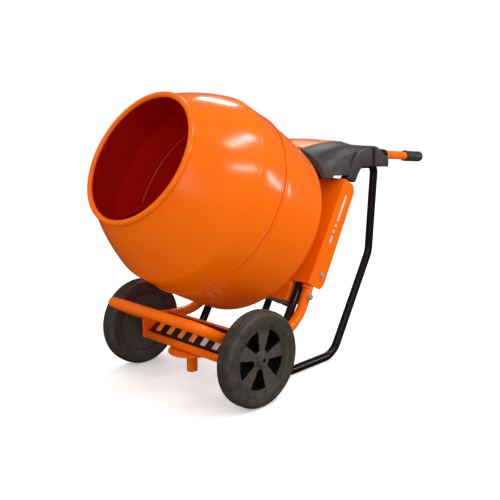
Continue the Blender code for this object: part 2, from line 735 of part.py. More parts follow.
hood_half = [                    # stations from the lip to the rear, each centre to lower edge
    [lip_point(a) for a in (0, 16, 26, 34, 40, 46)],
    [(0.0, 0.462, 0.7130), (0.105, 0.455, 0.7050), (0.158, 0.452, 0.6930),
     (0.190, 0.448, 0.6680), (0.202, 0.446, 0.6400), (0.206, 0.444, 0.6130)],
    [(0.0, 0.505, 0.7150), (0.124, 0.500, 0.7120), (0.172, 0.498, 0.7000),
     (0.198, 0.492, 0.6760), (0.209, 0.484, 0.6420), (0.212, 0.478, 0.6120)],
    [(0.0, 0.540, 0.7150), (0.135, 0.538, 0.7110), (0.178, 0.534, 0.7020),
     (0.203, 0.526, 0.6850), (0.213, 0.512, 0.6450), (0.214, 0.503, 0.5920)],
    [(0.0, 0.552, 0.7060), (0.142, 0.550, 0.7010), (0.184, 0.550, 0.6970),
     (0.207, 0.549, 0.6900), (0.214, 0.545, 0.6650), (0.214, 0.543, 0.6310)],
    [(0.0, 0.610, 0.7000), (0.150, 0.608, 0.6970), (0.190, 0.606, 0.6960),
     (0.209, 0.604, 0.6930), (0.214, 0.602, 0.6700), (0.214, 0.600, 0.6330)],
    [(0.0, 0.665, 0.6930), (0.150, 0.662, 0.6900), (0.192, 0.648, 0.6910),
     (0.209, 0.640, 0.6900), (0.214, 0.640, 0.6650), (0.214, 0.640, 0.6300)],
    [(0.0, 0.690, 0.6860), (0.150, 0.690, 0.6800), (0.194, 0.690, 0.6640),
     (0.210, 0.690, 0.6560), (0.214, 0.690, 0.6450), (0.214, 0.689, 0.6260)],
]


def full_width(half):
    """Mirror one station to both sides."""
    return [(-x, y, z) for x, y, z in half[:0:-1]] + half


hood = place("hood", grid_mesh([full_width(half) for half in hood_half]), "black_plastic",
             location=(0, AXLE_Y, 0))
thicken(hood, HOOD_T, -1.0)

decal_rows = []
for half, share in ((hood_half[0], 0.10), (hood_half[1], 0.0), (hood_half[2], 0.0), (hood_half[3], 0.15)):
    (x0, y0, z0), (x1, y1, z1) = half[0], half[1]
    drop = 0.0015 + GAP
    decal_rows.append([(s * x1 * 0.94, y0 + (y1 - y0) * abs(s) * 0.94,
                        z0 + (z1 - z0) * abs(s) * 0.94 + drop) for s in (-1, -0.5, 0, 0.5, 1)])
decal = place("hood_decal", grid_mesh(decal_rows), "orange", location=(0, AXLE_Y, 0))
thicken(decal, 0.0008, 1.0)

HANDLE_FROM, HANDLE_TO = (0.6300, 0.6690), (0.9150, 0.6420)
GRIP_LENGTH = 0.094
SOCKET_R, SOCKET_LENGTH = 0.0178, 0.068
for side, sign in SIDES:
    start = from_axle(sign * HANDLE_X, *HANDLE_FROM)
    end = from_axle(sign * HANDLE_X, *HANDLE_TO)
    tube(f"handle_{side}", [start, end], HANDLE_R, "orange")
    along = (end - start).normalized()
    lean = math.atan2(-along.z, along.y)
    down_handle = (-math.radians(90) - lean, 0, 0)
    turned(f"handle_socket_{side}", [(HANDLE_R + GAP, -0.002), (SOCKET_R, -0.002),
                                     (SOCKET_R, SOCKET_LENGTH - 0.001),
                                     (SOCKET_R - 0.001, SOCKET_LENGTH),
                                     (HANDLE_R + GAP, SOCKET_LENGTH)],
           "black_paint", 20, location=start, turn=down_handle)
    cut(hood, rod(f"handle_opening_{side}", SOCKET_R + 0.0008, -0.004, 0.12, None, 24, group=cutters,
                  location=start, turn=down_handle))
    grip = [(HANDLE_R + GAP, 0.0), (0.0182, 0.0), (0.0190, 0.0030), (0.0175, 0.0070)]
    for k in range(5):
        low = 0.018 + 0.014 * k
        grip += [(0.0172, low), (0.0182, low + 0.005), (0.0172, low + 0.010)]
    grip += [(0.0185, GRIP_LENGTH - 0.006), (0.0160, GRIP_LENGTH + 0.003), (0.0080, GRIP_LENGTH + 0.006),
             (0.0, GRIP_LENGTH + 0.006), (0.0, GRIP_LENGTH + GAP), (HANDLE_R + GAP, GRIP_LENGTH + GAP)]
    turned(f"grip_{side}", grip, "black_plastic", 16, location=end - along * GRIP_LENGTH,
           turn=down_handle)

BUTTON_R = 0.0115
BUTTON_TRAVEL = 0.0030
SWITCH_FACE = 0.6700
switch = block("switch_box", (0.094, 0.060, 0.070), "black_plastic",
               location=from_axle(0, SWITCH_FACE - 0.030, 0.6525))
bevel(switch, 0.004)
for name, x, look in (("start_button", 0.020, "green"), ("stop_button", -0.020, "red")):
    spot = from_axle(x, SWITCH_FACE, 0.6540)
    facing_back = (math.radians(-90), 0, 0)
    cut(switch, rod(name + "_well", BUTTON_R + GAP, -0.0100, 0.0050, None, 24, location=spot,
                    turn=facing_back, group=cutters))
    turned(name, [(0.0, -0.0100 + BUTTON_TRAVEL + 0.001), (BUTTON_R, -0.0100 + BUTTON_TRAVEL + 0.001),
                  (BUTTON_R, 0.0050), (BUTTON_R - 0.0010, 0.0060), (0.0, 0.0060)],
           look, 24, location=spot, turn=facing_back)
turned("mains_inlet", [(0.0, 0.0), (0.0190, 0.0), (0.0190, 0.0300), (0.0165, 0.0300),
                       (0.0165, 0.0060), (0.0, 0.0060)][::-1], "blue", 24,
       location=from_axle(0, 0.6400, 0.6172), turn=(math.radians(180), 0, 0))

for obj in model.objects:
    if obj.type == "MESH":
        smooth(obj)
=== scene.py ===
"""The finished look of a portable electric concrete mixer, piece by piece as it is put together.

Metres, +Z up.  +X is the operator's left and -Y is the way the drum's mouth faces.
"""
import math

import bmesh
import bpy
import numpy as np
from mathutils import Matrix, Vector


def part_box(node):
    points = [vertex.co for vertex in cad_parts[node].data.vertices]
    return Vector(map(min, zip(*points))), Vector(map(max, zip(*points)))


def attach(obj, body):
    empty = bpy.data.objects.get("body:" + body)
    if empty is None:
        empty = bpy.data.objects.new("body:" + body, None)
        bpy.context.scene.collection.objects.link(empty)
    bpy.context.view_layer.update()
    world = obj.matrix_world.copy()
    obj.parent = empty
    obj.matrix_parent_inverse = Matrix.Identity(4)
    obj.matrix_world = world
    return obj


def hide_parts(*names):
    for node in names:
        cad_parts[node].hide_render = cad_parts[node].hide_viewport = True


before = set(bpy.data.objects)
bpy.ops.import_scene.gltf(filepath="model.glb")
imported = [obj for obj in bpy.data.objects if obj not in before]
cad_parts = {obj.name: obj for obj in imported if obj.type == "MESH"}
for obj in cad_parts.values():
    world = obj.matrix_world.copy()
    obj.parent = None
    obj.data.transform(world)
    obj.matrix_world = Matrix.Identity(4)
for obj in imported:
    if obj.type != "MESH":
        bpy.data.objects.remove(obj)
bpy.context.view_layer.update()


# ---- 1. tyres -----------------------------------------------------------------------
# Solid rubber tyres pressed out of carbon-filled rubber and stretched over the wheel
# centres.  Four grooves run round the tread and the sidewalls step down to the rim.
def linear(hex_colour):
    """One sRGB hex colour as the linear RGBA that shaders use."""
    parts = np.array([int(hex_colour[k:k + 2], 16) for k in (1, 3, 5)]) / 255
    parts = np.where(parts <= 0.04045, parts / 12.92, ((parts + 0.055) / 1.055) ** 2.4)
    return (*parts.tolist(), 1.0)


def add(tree, kind, inputs=None, **choices):
    """Add one shader node.  choices are its own settings; inputs are numbers for its
    sockets, or other nodes' outputs to link to them."""
    made = tree.nodes.new("ShaderNode" + kind)
    for key, value in choices.items():
        setattr(made, key, value)
    for key, value in (inputs or {}).items():
        if isinstance(value, bpy.types.NodeSocket):
            tree.links.new(value, made.inputs[key])
        else:
            made.inputs[key].default_value = value
    return made


def blank(name):
    """A material with an empty node tree."""
    material = bpy.data.materials.new(name)
    material.use_nodes = True
    material.node_tree.nodes.clear()
    return material, material.node_tree


def finish(name, dark, light, cloud, stops=(0.0, 1.0), rough=0.4, rough_by="cloud",
           grain=None, strength=0.0, depth=0.0, haze=None, **sockets):
    """A plain finish.  cloud, grain and haze are noises given as (scale, detail,
    roughness); a scale is in bumps to a metre.  The tone goes from dark to light between
    the cloud's stops.  rough is one value, or a range along the noise named by rough_by.
    grain gives the bump its strength and depth.  sockets are further shader values."""
    material, tree = blank(name)
    place = add(tree, "TexCoord").outputs["Object"]
    noises = {}
    for layer, noise in (("cloud", cloud), ("grain", grain), ("haze", haze)):
        if noise:
            scale, detail, soft = (*noise, 0.5)[:3]
            made = add(tree, "TexNoise", {"Vector": place, "Scale": scale, "Detail": detail,
                                          "Roughness": soft})
            noises[layer] = made.outputs["Fac"]
    tone = add(tree, "ValToRGB", {"Fac": noises["cloud"]})
    for stop, position, colour in zip(tone.color_ramp.elements, stops, (dark, light)):
        stop.position, stop.color = position, linear(colour)
    if isinstance(rough, tuple):
        rough = add(tree, "MapRange", {"Value": noises[rough_by], "To Min": rough[0],
                                       "To Max": rough[1]}).outputs["Result"]
    values = {"Base Color": tone.outputs["Color"], "Roughness": rough, **sockets}
    if grain:
        values["Normal"] = add(tree, "Bump", {"Height": noises["grain"], "Strength": strength,
                                              "Distance": depth}).outputs["Normal"]
    surface = add(tree, "BsdfPrincipled", values)
    add(tree, "OutputMaterial", {"Surface": surface.outputs["BSDF"]})
    return material


WELD = 0.000002                      # points closer than this are one point


def skin(name, points, around=False, along=False, sharp=35, outward=False):
    """A mesh from a grid of points (rows, columns, 3), one four-sided face to a cell.
    around joins the last column to the first, along the last row to the first.  A skin
    that is joined both ways, or is said to be closed by outward, is turned to face out."""
    rows, columns = points.shape[:2]
    index = np.arange(rows * columns).reshape(rows, columns)
    if around:
        index = np.hstack([index, index[:, :1]])
    if along:
        index = np.vstack([index, index[:1]])
    faces = np.stack([index[:-1, :-1], index[:-1, 1:], index[1:, 1:], index[1:, :-1]], -1)
    mesh = bpy.data.meshes.new(name)
    mesh.from_pydata(points.reshape(-1, 3).tolist(), [], faces.reshape(-1, 4).tolist())
    bm = bmesh.new()
    bm.from_mesh(mesh)
    bmesh.ops.remove_doubles(bm, verts=bm.verts, dist=WELD)
    if outward or (around and along):
        bmesh.ops.recalc_face_normals(bm, faces=bm.faces)
    bm.to_mesh(mesh)
    bm.free()
    mesh.shade_smooth()
    mesh.set_sharp_from_angle(angle=math.radians(sharp))
    return mesh


def fit(name, mesh, material, body, slot, *nodes, second=None):
    """One finished piece: it rides on a body and stands for these solids.  second is
    (material, faces), a finish for the faces where that mask is true."""
    piece = bpy.data.objects.new(name, mesh)
    bpy.context.scene.collection.objects.link(piece)
    mesh.materials.append(material)
    if second:
        mesh.materials.append(second[0])
        mesh.polygons.foreach_set("material_index", np.asarray(second[1], int).ravel())
    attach(piece, body)
    if nodes:
        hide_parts(*nodes)
    return piece


def turned(profile, steps=128):
    """A profile of (radius, height) points carried round the Z axis: every point goes to
    radius x (cos, sin) of each angle, at its own height."""
    profile = np.asarray(profile, float)
    angle = np.linspace(0, math.tau, steps, endpoint=False)
    ring = np.stack([np.cos(angle), np.sin(angle)], -1)
    flat = profile[:, None, :1] * ring
    height = np.broadcast_to(profile[:, None, 1:], (*flat.shape[:2], 1))
    return np.concatenate([flat, height], -1)


SIDES = ("left", 1), ("right", -1)
WHEEL_X = 0.2653
AXLE_LOW, AXLE_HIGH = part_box("axle")
AXLE = (AXLE_LOW + AXLE_HIGH) / 2


def on_wheel(points, side):
    """Wheel shapes, turned about Z, laid on the axle with their outer face to one side."""
    x, y, z = points[..., 0], points[..., 1], points[..., 2]
    return np.stack([side * (WHEEL_X + z), AXLE.y + y, AXLE.z - side * x], -1)


# Moulded rubber shows as a warm near-black, powdery with dust, under a fine dull grain.
rubber = finish("moulded_carbon_black_rubber", "#332D26", "#4E463C", (38.0, 5.0, 0.65),
                (0.32, 0.72), (0.40, 0.55), grain=(900.0, 3.0), strength=0.25, depth=0.0004,
                IOR=1.52)

TYRE_R, TREAD_HALF, GROOVE_DEEP = 0.1400, 0.0170, 0.0036
tread = np.linspace(-TREAD_HALF, TREAD_HALF, 41)
groove = GROOVE_DEEP * np.exp(-((np.abs(np.abs(tread) - 0.0085) - 0.0045) / 0.0017) ** 4)
crown = TYRE_R - 0.0012 * (tread / TREAD_HALF) ** 4 - groove
shoulder = [(0.1368, 0.0212), (0.1345, 0.0240), (0.1318, 0.0262), (0.1290, 0.0276),
            (0.1262, 0.0283), (0.1240, 0.0285), (0.1236, 0.0277), (0.1212, 0.0277),
            (0.1206, 0.0284), (0.1160, 0.0279), (0.1100, 0.0272), (0.1040, 0.0262),
            (0.1030, 0.0250), (0.1000, 0.0247), (0.0985, 0.0238), (0.0958, 0.0234),
            (0.0940, 0.0224)]
tyre_profile = ([(r, -h) for r, h in reversed(shoulder)] + list(zip(crown, tread)) + shoulder)
for word, side in SIDES:
    fit(f"tyre_{word}_rubber", skin("tyre", on_wheel(turned(tyre_profile, 160), side), True, True),
        rubber, f"wheel_{word}", "tyre_rubber", f"tyre_{word}")


# ---- 2. wheel centres ---------------------------------------------------------------
# One-piece centres, injection moulded in black polypropylene with a finely etched face.
# Five deep wedge pockets leave five flat sectors between the hub and the stepped rim.
# Etched polypropylene is a soft charcoal that catches the light evenly across its face.
etched = finish("moulded_black_polypropylene", "#423C36", "#564E46", (60.0, 4.0), rough=0.42,
                grain=(1500.0, 2.0), strength=0.3, depth=0.0003, IOR=1.49)

# Painted shade: the pockets and the hub cap's bore take a near-black copy of the same plastic,
# standing in for the shade deep inside them.
pocket_shade_black = finish("painted_pocket_shade_black", "#060505", "#0E0C0B", (120.0, 3.0),
                   rough=(0.45, 0.60), IOR=1.49)

SECTORS = 5
SECTOR_START = math.radians(99.4)
POCKET_SHARE = 0.56
FACE_OUT, POCKET_FLOOR = 0.0130, -0.0108     # how far out of the wheel's middle they lie
CAP_BORE_R = 0.0064


def wheel_centre():
    """A closed profile turned about the axle.  On the face's columns, points between the
    hub and the rim drop by the pocket's depth wherever the angle lies in a pocket."""
    pitch = math.tau / SECTORS
    half = pitch * POCKET_SHARE / 2
    edges = np.array([-half, half])
    near = np.concatenate([edges - 0.004, edges + 0.004, np.linspace(-half + 0.03, half - 0.03, 14),
                           np.linspace(half + 0.03, pitch - half - 0.03, 12)])
    angle = SECTOR_START + pitch * (np.arange(SECTORS)[:, None] + 0.5) + near
    angle = np.sort(angle.ravel() % math.tau)
    back = [(0.0106, -0.0290), (0.0255, -0.0290), (0.0260, -0.0285), (0.0260, -0.0180),
            (0.0937, -0.0180), (0.0937, 0.0207), (0.0931, 0.0214), (0.0922, 0.0215),
            (0.0912, 0.0213), (0.0908, 0.0190), (0.0897, 0.0188), (0.0892, 0.0134)]
    face = [(radius, FACE_OUT) for radius in (0.0888, 0.0882, 0.0878, 0.0872, 0.0820, 0.0720,
                                              0.0600, 0.0500, 0.0420, 0.0340, 0.0288, 0.0282,
                                              0.0276, 0.0262)]
    hub = [(0.0245, 0.0134), (0.0222, 0.0150), (0.0205, 0.0200), (0.0190, 0.0232), (0.0182, 0.0240),
           (0.0106, 0.0240)]
    profile = np.array(back + face + hub)
    turn = np.stack([np.cos(angle), np.sin(angle)], -1)
    radius, height = profile[:, 0][:, None], profile[:, 1][:, None]
    offset = (angle - SECTOR_START) % pitch - pitch / 2
    narrow = np.interp(radius, (0.028, 0.088), (0.74, 1.0))
    inside = (np.abs(offset)[None] < half * narrow) & (radius < 0.0880) & (radius > 0.0285)
    inside &= height == FACE_OUT
    height = np.where(inside, POCKET_FLOOR, height)
    flat = radius[..., None] * turn[None]
    # low marks the pocket faces, which take the painted shade black.
    low = (inside | np.roll(inside, -1, 0)) & (inside | np.roll(inside, -1, 1))
    low |= np.roll(inside, -1, 1) | np.roll(np.roll(inside, -1, 1), -1, 0) | np.roll(inside, -1, 0)
    return np.concatenate([flat, height[..., None]], -1), low


for word, side in SIDES:
    shape, low = wheel_centre()
    fit(f"wheel_{word}_moulding", skin("centre", on_wheel(shape, side), True, True, 30), etched,
        f"wheel_{word}", "wheel_plastic", f"wheel_centre_{word}", second=(pocket_shade_black, low))
    cap = [(0.0, 0.0243), (0.0160, 0.0243), (0.0168, 0.0250), (0.0168, 0.0258), (0.0160, 0.0268),
           (0.0140, 0.0272), (0.0078, 0.0272), (0.0068, 0.0268), (CAP_BORE_R, 0.0262),
           (CAP_BORE_R, 0.0247), (0.0, 0.0246)]
    mesh = skin("cap", on_wheel(turned(cap, 64), side), True, outward=True)
    # The bore's faces take the painted shade black, standing in for the dark hole.
    bore_shade_faces = [max(math.hypot(mesh.vertices[k].co.y - AXLE.y, mesh.vertices[k].co.z - AXLE.z)
                for k in face.vertices) < CAP_BORE_R + 0.0002 for face in mesh.polygons]
    fit(f"hub_cap_{word}_ring", mesh, etched, "frame", "wheel_plastic", f"axle_cap_{word}",
        second=(pocket_shade_black, bore_shade_faces))


# ---- 3. axle and other bare steel ---------------------------------------------------
# A cold-drawn steel bar across the frame.  Turned and drawn steel keep fine tool lines
# and a thin oil film, so they stay bright but a little blotchy.
def bare_steel(name, light, dark, rough, metal=1.0):
    """Machined metal: blotches of oil over the tone and gloss, and fine tool lines."""
    return finish(name, dark, light, (55.0, 4.0), rough=(rough, rough + 0.15), grain=(1400.0, 2.0),
                  strength=0.15, depth=0.0002, Metallic=metal)


def dress(material, *names):
    """Give CAD solids that are shown as they are their finish."""
    for name in names:
        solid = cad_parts[name]
        solid.data.materials.clear()
        solid.data.materials.append(material)


steel = bare_steel("cold_drawn_steel", "#B4B4B7", "#85858A", 0.28, 0.7)
iron = bare_steel("oiled_cast_iron", "#55565A", "#2E2F32", 0.50)
copper = bare_steel("varnished_copper_windings", "#B8662E", "#7A3A18", 0.35)
dress(steel, "axle", "drum_shaft", "drum_gear", "layshaft_a", "layshaft_b", "layshaft_a_gear",
      "layshaft_b_gear", "motor_shaft", "drum_bearing")
dress(iron, "drum_bearing_housing", "motor_rotor")
dress(copper, "motor_stator")


# ---- 4. hoop ------------------------------------------------------------------------
# One length of 32 mm steel tube, bent six times: up at the nose, under the drum and up
# into the channel.  Glossy orange powder coat, with the faint orange peel of baked powder.
def powder_coat(name, light, dark, peel=0.10, rough=0.17):
    """Baked powder: a few percent of tone drift and a 3 mm orange peel under the gloss."""
    return finish(name, dark, light, (5.0, 3.0), (0.30, 0.70), (rough - 0.03, rough + 0.05), "haze",
                  (330.0, 1.5), peel, 0.0003, (22.0, 6.0), IOR=1.45, **{"Specular IOR Level": 0.42})


orange = powder_coat("orange_powder_coat", "#F86E00", "#F36600")
TILT = math.radians(29.85)
DOWN = np.array([0.0, math.cos(TILT), -math.sin(TILT)])
UP = np.array([0.0, math.sin(TILT), math.cos(TILT)])
MOUTH = np.array([0.0, AXLE.y - 0.195, 0.7037])


def from_axle(x, back, height):
    """A place from its distance back of the axle and its height above the floor."""
    return np.array([x, AXLE.y + back, height])


def on_spine(x, up, down):
    """Places on the leaning spine: up the channel, and down the drum's axis from its mouth."""
    x, up, down = np.broadcast_arrays(x, up, down)
    return (MOUTH + x[..., None] * np.array([1.0, 0, 0]) + up[..., None] * UP
            + down[..., None] * DOWN)


def bent_path(corners, radii, steps=14):
    """Straight runs through the corners, with an arc of its own radius at each one."""
    corners = np.asarray(corners, float)
    runs = [corners[:1]]
    share = np.linspace(0, 1, steps)[:, None]
    for before, corner, after, radius in zip(corners, corners[1:], corners[2:], radii):
        to, away = before - corner, after - corner
        to, away = to / np.linalg.norm(to), away / np.linalg.norm(away)
        half = math.acos(np.clip(to @ away, -1, 1)) / 2
        middle = (to + away) / np.linalg.norm(to + away)
        centre = corner + middle * radius / math.sin(half)
        start = corner + to * radius / math.tan(half) - centre
        end = corner + away * radius / math.tan(half) - centre
        sweep = math.pi - 2 * half
        runs.append(centre + (start * np.sin((1 - share) * sweep) + end * np.sin(share * sweep))
                    / math.sin(sweep))
    runs.append(corners[-1:])
    return np.concatenate(runs)


def bar(path, radius, sides=28):
    """A round bar: circles square to the path, kept from twisting by carrying one frame
    along it, and drawn in to a point at both ends so that it is closed."""
    ahead = np.gradient(path, axis=0)
    ahead /= np.linalg.norm(ahead, axis=1, keepdims=True)
    cross = np.cross(ahead[0], [0.0, 0.3, 1.0])
    crosses = []
    for direction in ahead:
        cross = cross - direction * (cross @ direction)
        cross = cross / np.linalg.norm(cross)
        crosses.append(cross)
    crosses = np.array(crosses)
    other = np.cross(ahead, crosses)
    angle = np.linspace(0, math.tau, sides, endpoint=False)
    rings = path[:, None] + radius * (np.cos(angle)[None, :, None] * crosses[:, None]
                                      + np.sin(angle)[None, :, None] * other[:, None])
    edge = 0.0012
    first = path[0] + (rings[0] - path[0]) * (1 - edge / radius)
    last = path[-1] + (rings[-1] - path[-1]) * (1 - edge / radius)
    rings[0] += ahead[0] * edge
    rings[-1] -= ahead[-1] * edge
    poles = np.repeat(path[[0, -1]][:, None], sides, 1)
    return np.concatenate([poles[:1], first[None], rings, last[None], poles[1:]])


def closed(points, name, sharp=50, flat_ends=False):
    """A skin that is joined round, with its faces turned outwards.  Its rows draw in to a
    point at both ends, or flat_ends fills the two open ends with flat faces."""
    mesh = skin(name, points, around=True, sharp=sharp)
    bm = bmesh.new()
    bm.from_mesh(mesh)
    if flat_ends:
        bmesh.ops.holes_fill(bm, edges=[edge for edge in bm.edges if edge.is_boundary])
        bmesh.ops.triangulate(bm, faces=[face for face in bm.faces if len(face.verts) > 4])
    else:
        bmesh.ops.dissolve_degenerate(bm, edges=bm.edges, dist=WELD)
    bmesh.ops.recalc_face_normals(bm, faces=bm.faces)
    bm.to_mesh(mesh)
    bm.free()
    return mesh


RAIL_R, RAIL_X, COLLAR_R = 0.0158, 0.206, 0.0163
rail_top = on_spine(0.1997, -0.095, 0.634)
half_hoop = [rail_top, from_axle(RAIL_X, 0.2292, 0.1565), from_axle(RAIL_X, 0.0043, 0.1565),
             from_axle(RAIL_X, -0.1680, 0.2550)]
flip = np.array([-1.0, 1, 1])
hoop = bent_path(half_hoop + [point * flip for point in reversed(half_hoop)],
                 (0.150, 0.380, 0.045, 0.045, 0.380, 0.150), 20)
fit("hoop_tube", closed(bar(hoop, RAIL_R, 36), "hoop"), orange, "frame", "orange_paint",
    "nose_hoop")

# Pressed collars where the rails run up behind the channel's lower corners.
for word, side in SIDES:
    collar = bar(np.linspace(on_spine(side * 0.2001, -0.132, 0.6285),
                             on_spine(side * 0.1999, -0.122, 0.6300), 4), COLLAR_R, 32)
    fit(f"rail_{word}_collar", closed(collar, "collar"), orange, "frame", "orange_paint")


# ---- 5. axle beam, gussets and stand spigot -----------------------------------------
# A folded 3 mm plate bridges the rails over the axle, closed by a gusset at each end.
# Under it a round flange and a short tube drop onto the mixer's stand.
def rounded(outline, radius, steps=5):
    """A closed outline of flat points with every corner eased to a small arc."""
    outline = np.asarray(outline, float)
    eased = []
    share = np.linspace(0, 1, steps)[:, None]
    for before, corner, after in zip(np.roll(outline, 1, 0), outline, np.roll(outline, -1, 0)):
        start = corner + (before - corner) * min(0.45, radius / np.linalg.norm(before - corner))
        end = corner + (after - corner) * min(0.45, radius / np.linalg.norm(after - corner))
        eased.append((1 - share) ** 2 * start + 2 * share * (1 - share) * corner + share ** 2 * end)
    return np.concatenate(eased)


def slab(outline, low, high, ease=0.0006):
    """A flat outline drawn from low to high along a third axis, with eased edges: rings
    shrink by the ease at both faces, and each face closes on the outline's middle."""
    outline = np.asarray(outline, float)
    middle = outline.mean(0)
    reach = np.linalg.norm(outline - middle, axis=1, keepdims=True)
    inner = middle + (outline - middle) * (1 - ease / reach)
    levels = ((middle + (outline - middle) * 0.0, low), (inner, low), (outline, low + ease),
              (outline, high - ease), (inner, high), (middle + (outline - middle) * 0.0, high))
    return np.stack([np.column_stack([flat, np.full(len(flat), level)]) for flat, level in levels])


beam_profile = rounded([(-0.0500, 0.1125), (-0.0500, 0.1280), (0.0500, 0.1830), (0.0500, 0.1650),
                        (0.0470, 0.1650), (0.0470, 0.1790), (-0.0470, 0.1262),
                        (-0.0470, 0.1125)], 0.0022)
BEAM_X = 0.1849
ends = np.array([-BEAM_X, BEAM_X])[:, None]
beam = np.stack(np.broadcast_arrays(ends, AXLE.y + beam_profile[:, 0], beam_profile[:, 1]), -1)
fit("beam_plate", closed(beam, "beam", 35, flat_ends=True), orange, "frame", "orange_paint",
    "axle_beam")

gusset = rounded([(-0.054, 0.1118), (0.012, 0.1118), (0.054, 0.1350), (0.054, 0.1460),
                  (0.020, 0.1600), (-0.054, 0.1820)], 0.004)
for word, side in SIDES:
    plate = slab(gusset, 0.1852, 0.1892)
    plate = np.stack([side * plate[..., 2], AXLE.y + plate[..., 0], plate[..., 1]], -1)
    fit(f"gusset_{word}_plate", closed(plate, "gusset", 30), orange, "frame", "orange_paint",
        f"beam_gusset_{word}")

SPIGOT = from_axle(0, -0.014, 0)
disc = [(0.0135, 0.1030), (0.0695, 0.1030), (0.0714, 0.1036), (0.0720, 0.1050), (0.0720, 0.1070),
        (0.0714, 0.1084), (0.0695, 0.1090), (0.0135, 0.1090)]
fit("stand_flange", skin("disc", turned(disc, 96) + SPIGOT, True, True), orange, "frame",
    "orange_paint", "spigot_disc")
spigot = [(0.0135, 0.0410), (0.0140, 0.0402), (0.0150, 0.0400), (0.0160, 0.0402), (0.0165, 0.0412),
          (0.0165, 0.0990), (0.0172, 0.1010), (0.0185, 0.1027), (0.0135, 0.1027)]
fit("stand_tube", skin("spigot", turned(spigot, 48) + SPIGOT, True, True), orange, "frame",
    "orange_paint", "spigot_tube")


# ---- 6. printed panel on the beam ---------------------------------------------------
# A black self-adhesive film with plain slanted bars, orange on one half and pale grey on
# the other, under a clear gloss overlaminate.
film, tree = blank("printed_vinyl_film")
place = add(tree, "TexCoord").outputs["Object"]
across = add(tree, "SeparateXYZ", {"Vector": place})
lean = add(tree, "Math", {0: across.outputs["Z"], 1: 0.45, 2: across.outputs["X"]},
           operation="MULTIPLY_ADD")
bars = add(tree, "Math", {0: lean.outputs["Value"], 1: 0.0260}, operation="PINGPONG")
stripe = add(tree, "Math", {0: bars.outputs["Value"], 1: 0.0150}, operation="GREATER_THAN")
low_edge = add(tree, "Math", {0: across.outputs["Z"], 1: 0.1395}, operation="GREATER_THAN")
high_edge = add(tree, "Math", {0: across.outputs["Z"], 1: 0.1700}, operation="LESS_THAN")
band = add(tree, "Math", {0: low_edge.outputs["Value"], 1: high_edge.outputs["Value"]},
           operation="MULTIPLY")
ink = add(tree, "Math", {0: band.outputs["Value"], 1: stripe.outputs["Value"]},
          operation="MULTIPLY")
half = add(tree, "Math", {0: across.outputs["X"], 1: 0.020}, operation="GREATER_THAN")
# Colour mixing takes its two colours at sockets 6 and 7, and gives the result at 2.
two = add(tree, "Mix", {"Factor": half.outputs["Value"], 6: linear("#F57A10"),
                        7: linear("#C9C4CC")}, data_type="RGBA")
tone = add(tree, "Mix", {"Factor": ink.outputs["Value"], 6: linear("#1A151A"), 7: two.outputs[2]},
           data_type="RGBA")
fine = add(tree, "TexNoise", {"Vector": place, "Scale": 600.0})
bump = add(tree, "Bump", {"Height": fine.outputs["Fac"], "Strength": 0.05, "Distance": 0.0002})
surface = add(tree, "BsdfPrincipled", {"Base Color": tone.outputs[2], "Roughness": 0.28,
                                       "IOR": 1.50, "Normal": bump.outputs["Normal"]})
add(tree, "OutputMaterial", {"Surface": surface.outputs["BSDF"]})

slope = math.atan2(0.055, 0.100)
square_off = np.array([0.0, -math.sin(slope), math.cos(slope)])
along_slope = np.array([0.0, math.cos(slope), math.sin(slope)])
panel = slab(rounded([(-0.176, -0.046), (0.176, -0.046), (0.176, 0.046), (-0.176, 0.046)], 0.006),
             0.0003, 0.0011, 0.0002)
panel = (from_axle(0, 0, 0.1555) + panel[..., :1] * np.array([1.0, 0, 0])
         + panel[..., 1:2] * along_slope + panel[..., 2:] * square_off)
fit("beam_film", closed(panel, "film", 30), film, "frame", "decal_black", "beam_decal")


# ---- 7. side frames -----------------------------------------------------------------
# One 26 mm tube a side, bent from the channel's foot along the floor and up under the
# hood, which stands the mixer at rest.  Gloss black powder coat.
black = powder_coat("black_powder_coat", "#1B1614", "#120E0D", 0.12, 0.20)
LEG_X, LEG_R = 0.175, 0.01325
leg = [on_spine(LEG_X, 0.190, 0.632)]
leg += [from_axle(LEG_X, back, height) for back, height in (
    (0.5550, 0.6370), (0.6630, 0.6328), (0.6410, 0.3350), (0.4540, LEG_R), (0.1250, LEG_R))]
leg.append(on_spine(LEG_X - 0.0045, -0.070, 0.6275))
leg = bent_path(leg, (0.050, 0.030, 0.080, 0.075, 0.072), 18)
for word, side in SIDES:
    fit(f"leg_{word}_tube", closed(bar(leg * [side, 1, 1], LEG_R, 28), "leg"), black, "frame",
        "black_paint", f"side_frame_{word}")


# ---- 8. channel and lower guard -----------------------------------------------------
# The backbone is 2.5 mm steel sheet folded into a channel, open to the rear, with its
# corners cropped.  A shallower tray below it guards the bottom of the gearcase.
def folded(half_x, front, depth_at, ups, bend=0.0045, sheet=0.0025):
    """A channel section carried up the spine: along it the line runs forward down one
    side, round a bend, across the front and back, and then returns inside the sheet."""
    turn = np.linspace(0, math.pi / 2, 6)
    rows = []
    for up, depth in zip(ups, depth_at):
        faces = []
        for inset in (0.0, sheet):
            arc = bend - inset
            line = [(half_x - inset, front + depth - 0.0004), (half_x - inset, front + bend)]
            line += list(zip(half_x - bend + arc * np.cos(turn[1:]),
                             front + bend - arc * np.sin(turn[1:])))
            faces.append(line + [(-x, down) for x, down in reversed(line)])
        loop = np.array(faces[0] + faces[1][::-1])
        rows.append(on_spine(loop[:, 0], up, loop[:, 1]))
    return np.stack(rows)


CHANNEL_HALF, TRAY_HALF, SHEET_DOWN = 0.219, 0.1545, 0.610
heights = np.array([-0.1190, -0.1180, -0.1170, -0.0990, -0.05, 0.0, 0.1, 0.2150, 0.2330, 0.2340])
depths = np.array([0.0445, 0.0600, 0.0615, 0.0730, 0.0716, 0.0700, 0.0668, 0.0630, 0.0465, 0.0455])
channel = closed(folded(CHANNEL_HALF, SHEET_DOWN, depths, heights), "channel", 28, flat_ends=True)
fit("channel_sheet", channel, orange, "frame", "orange_paint", "channel_body")

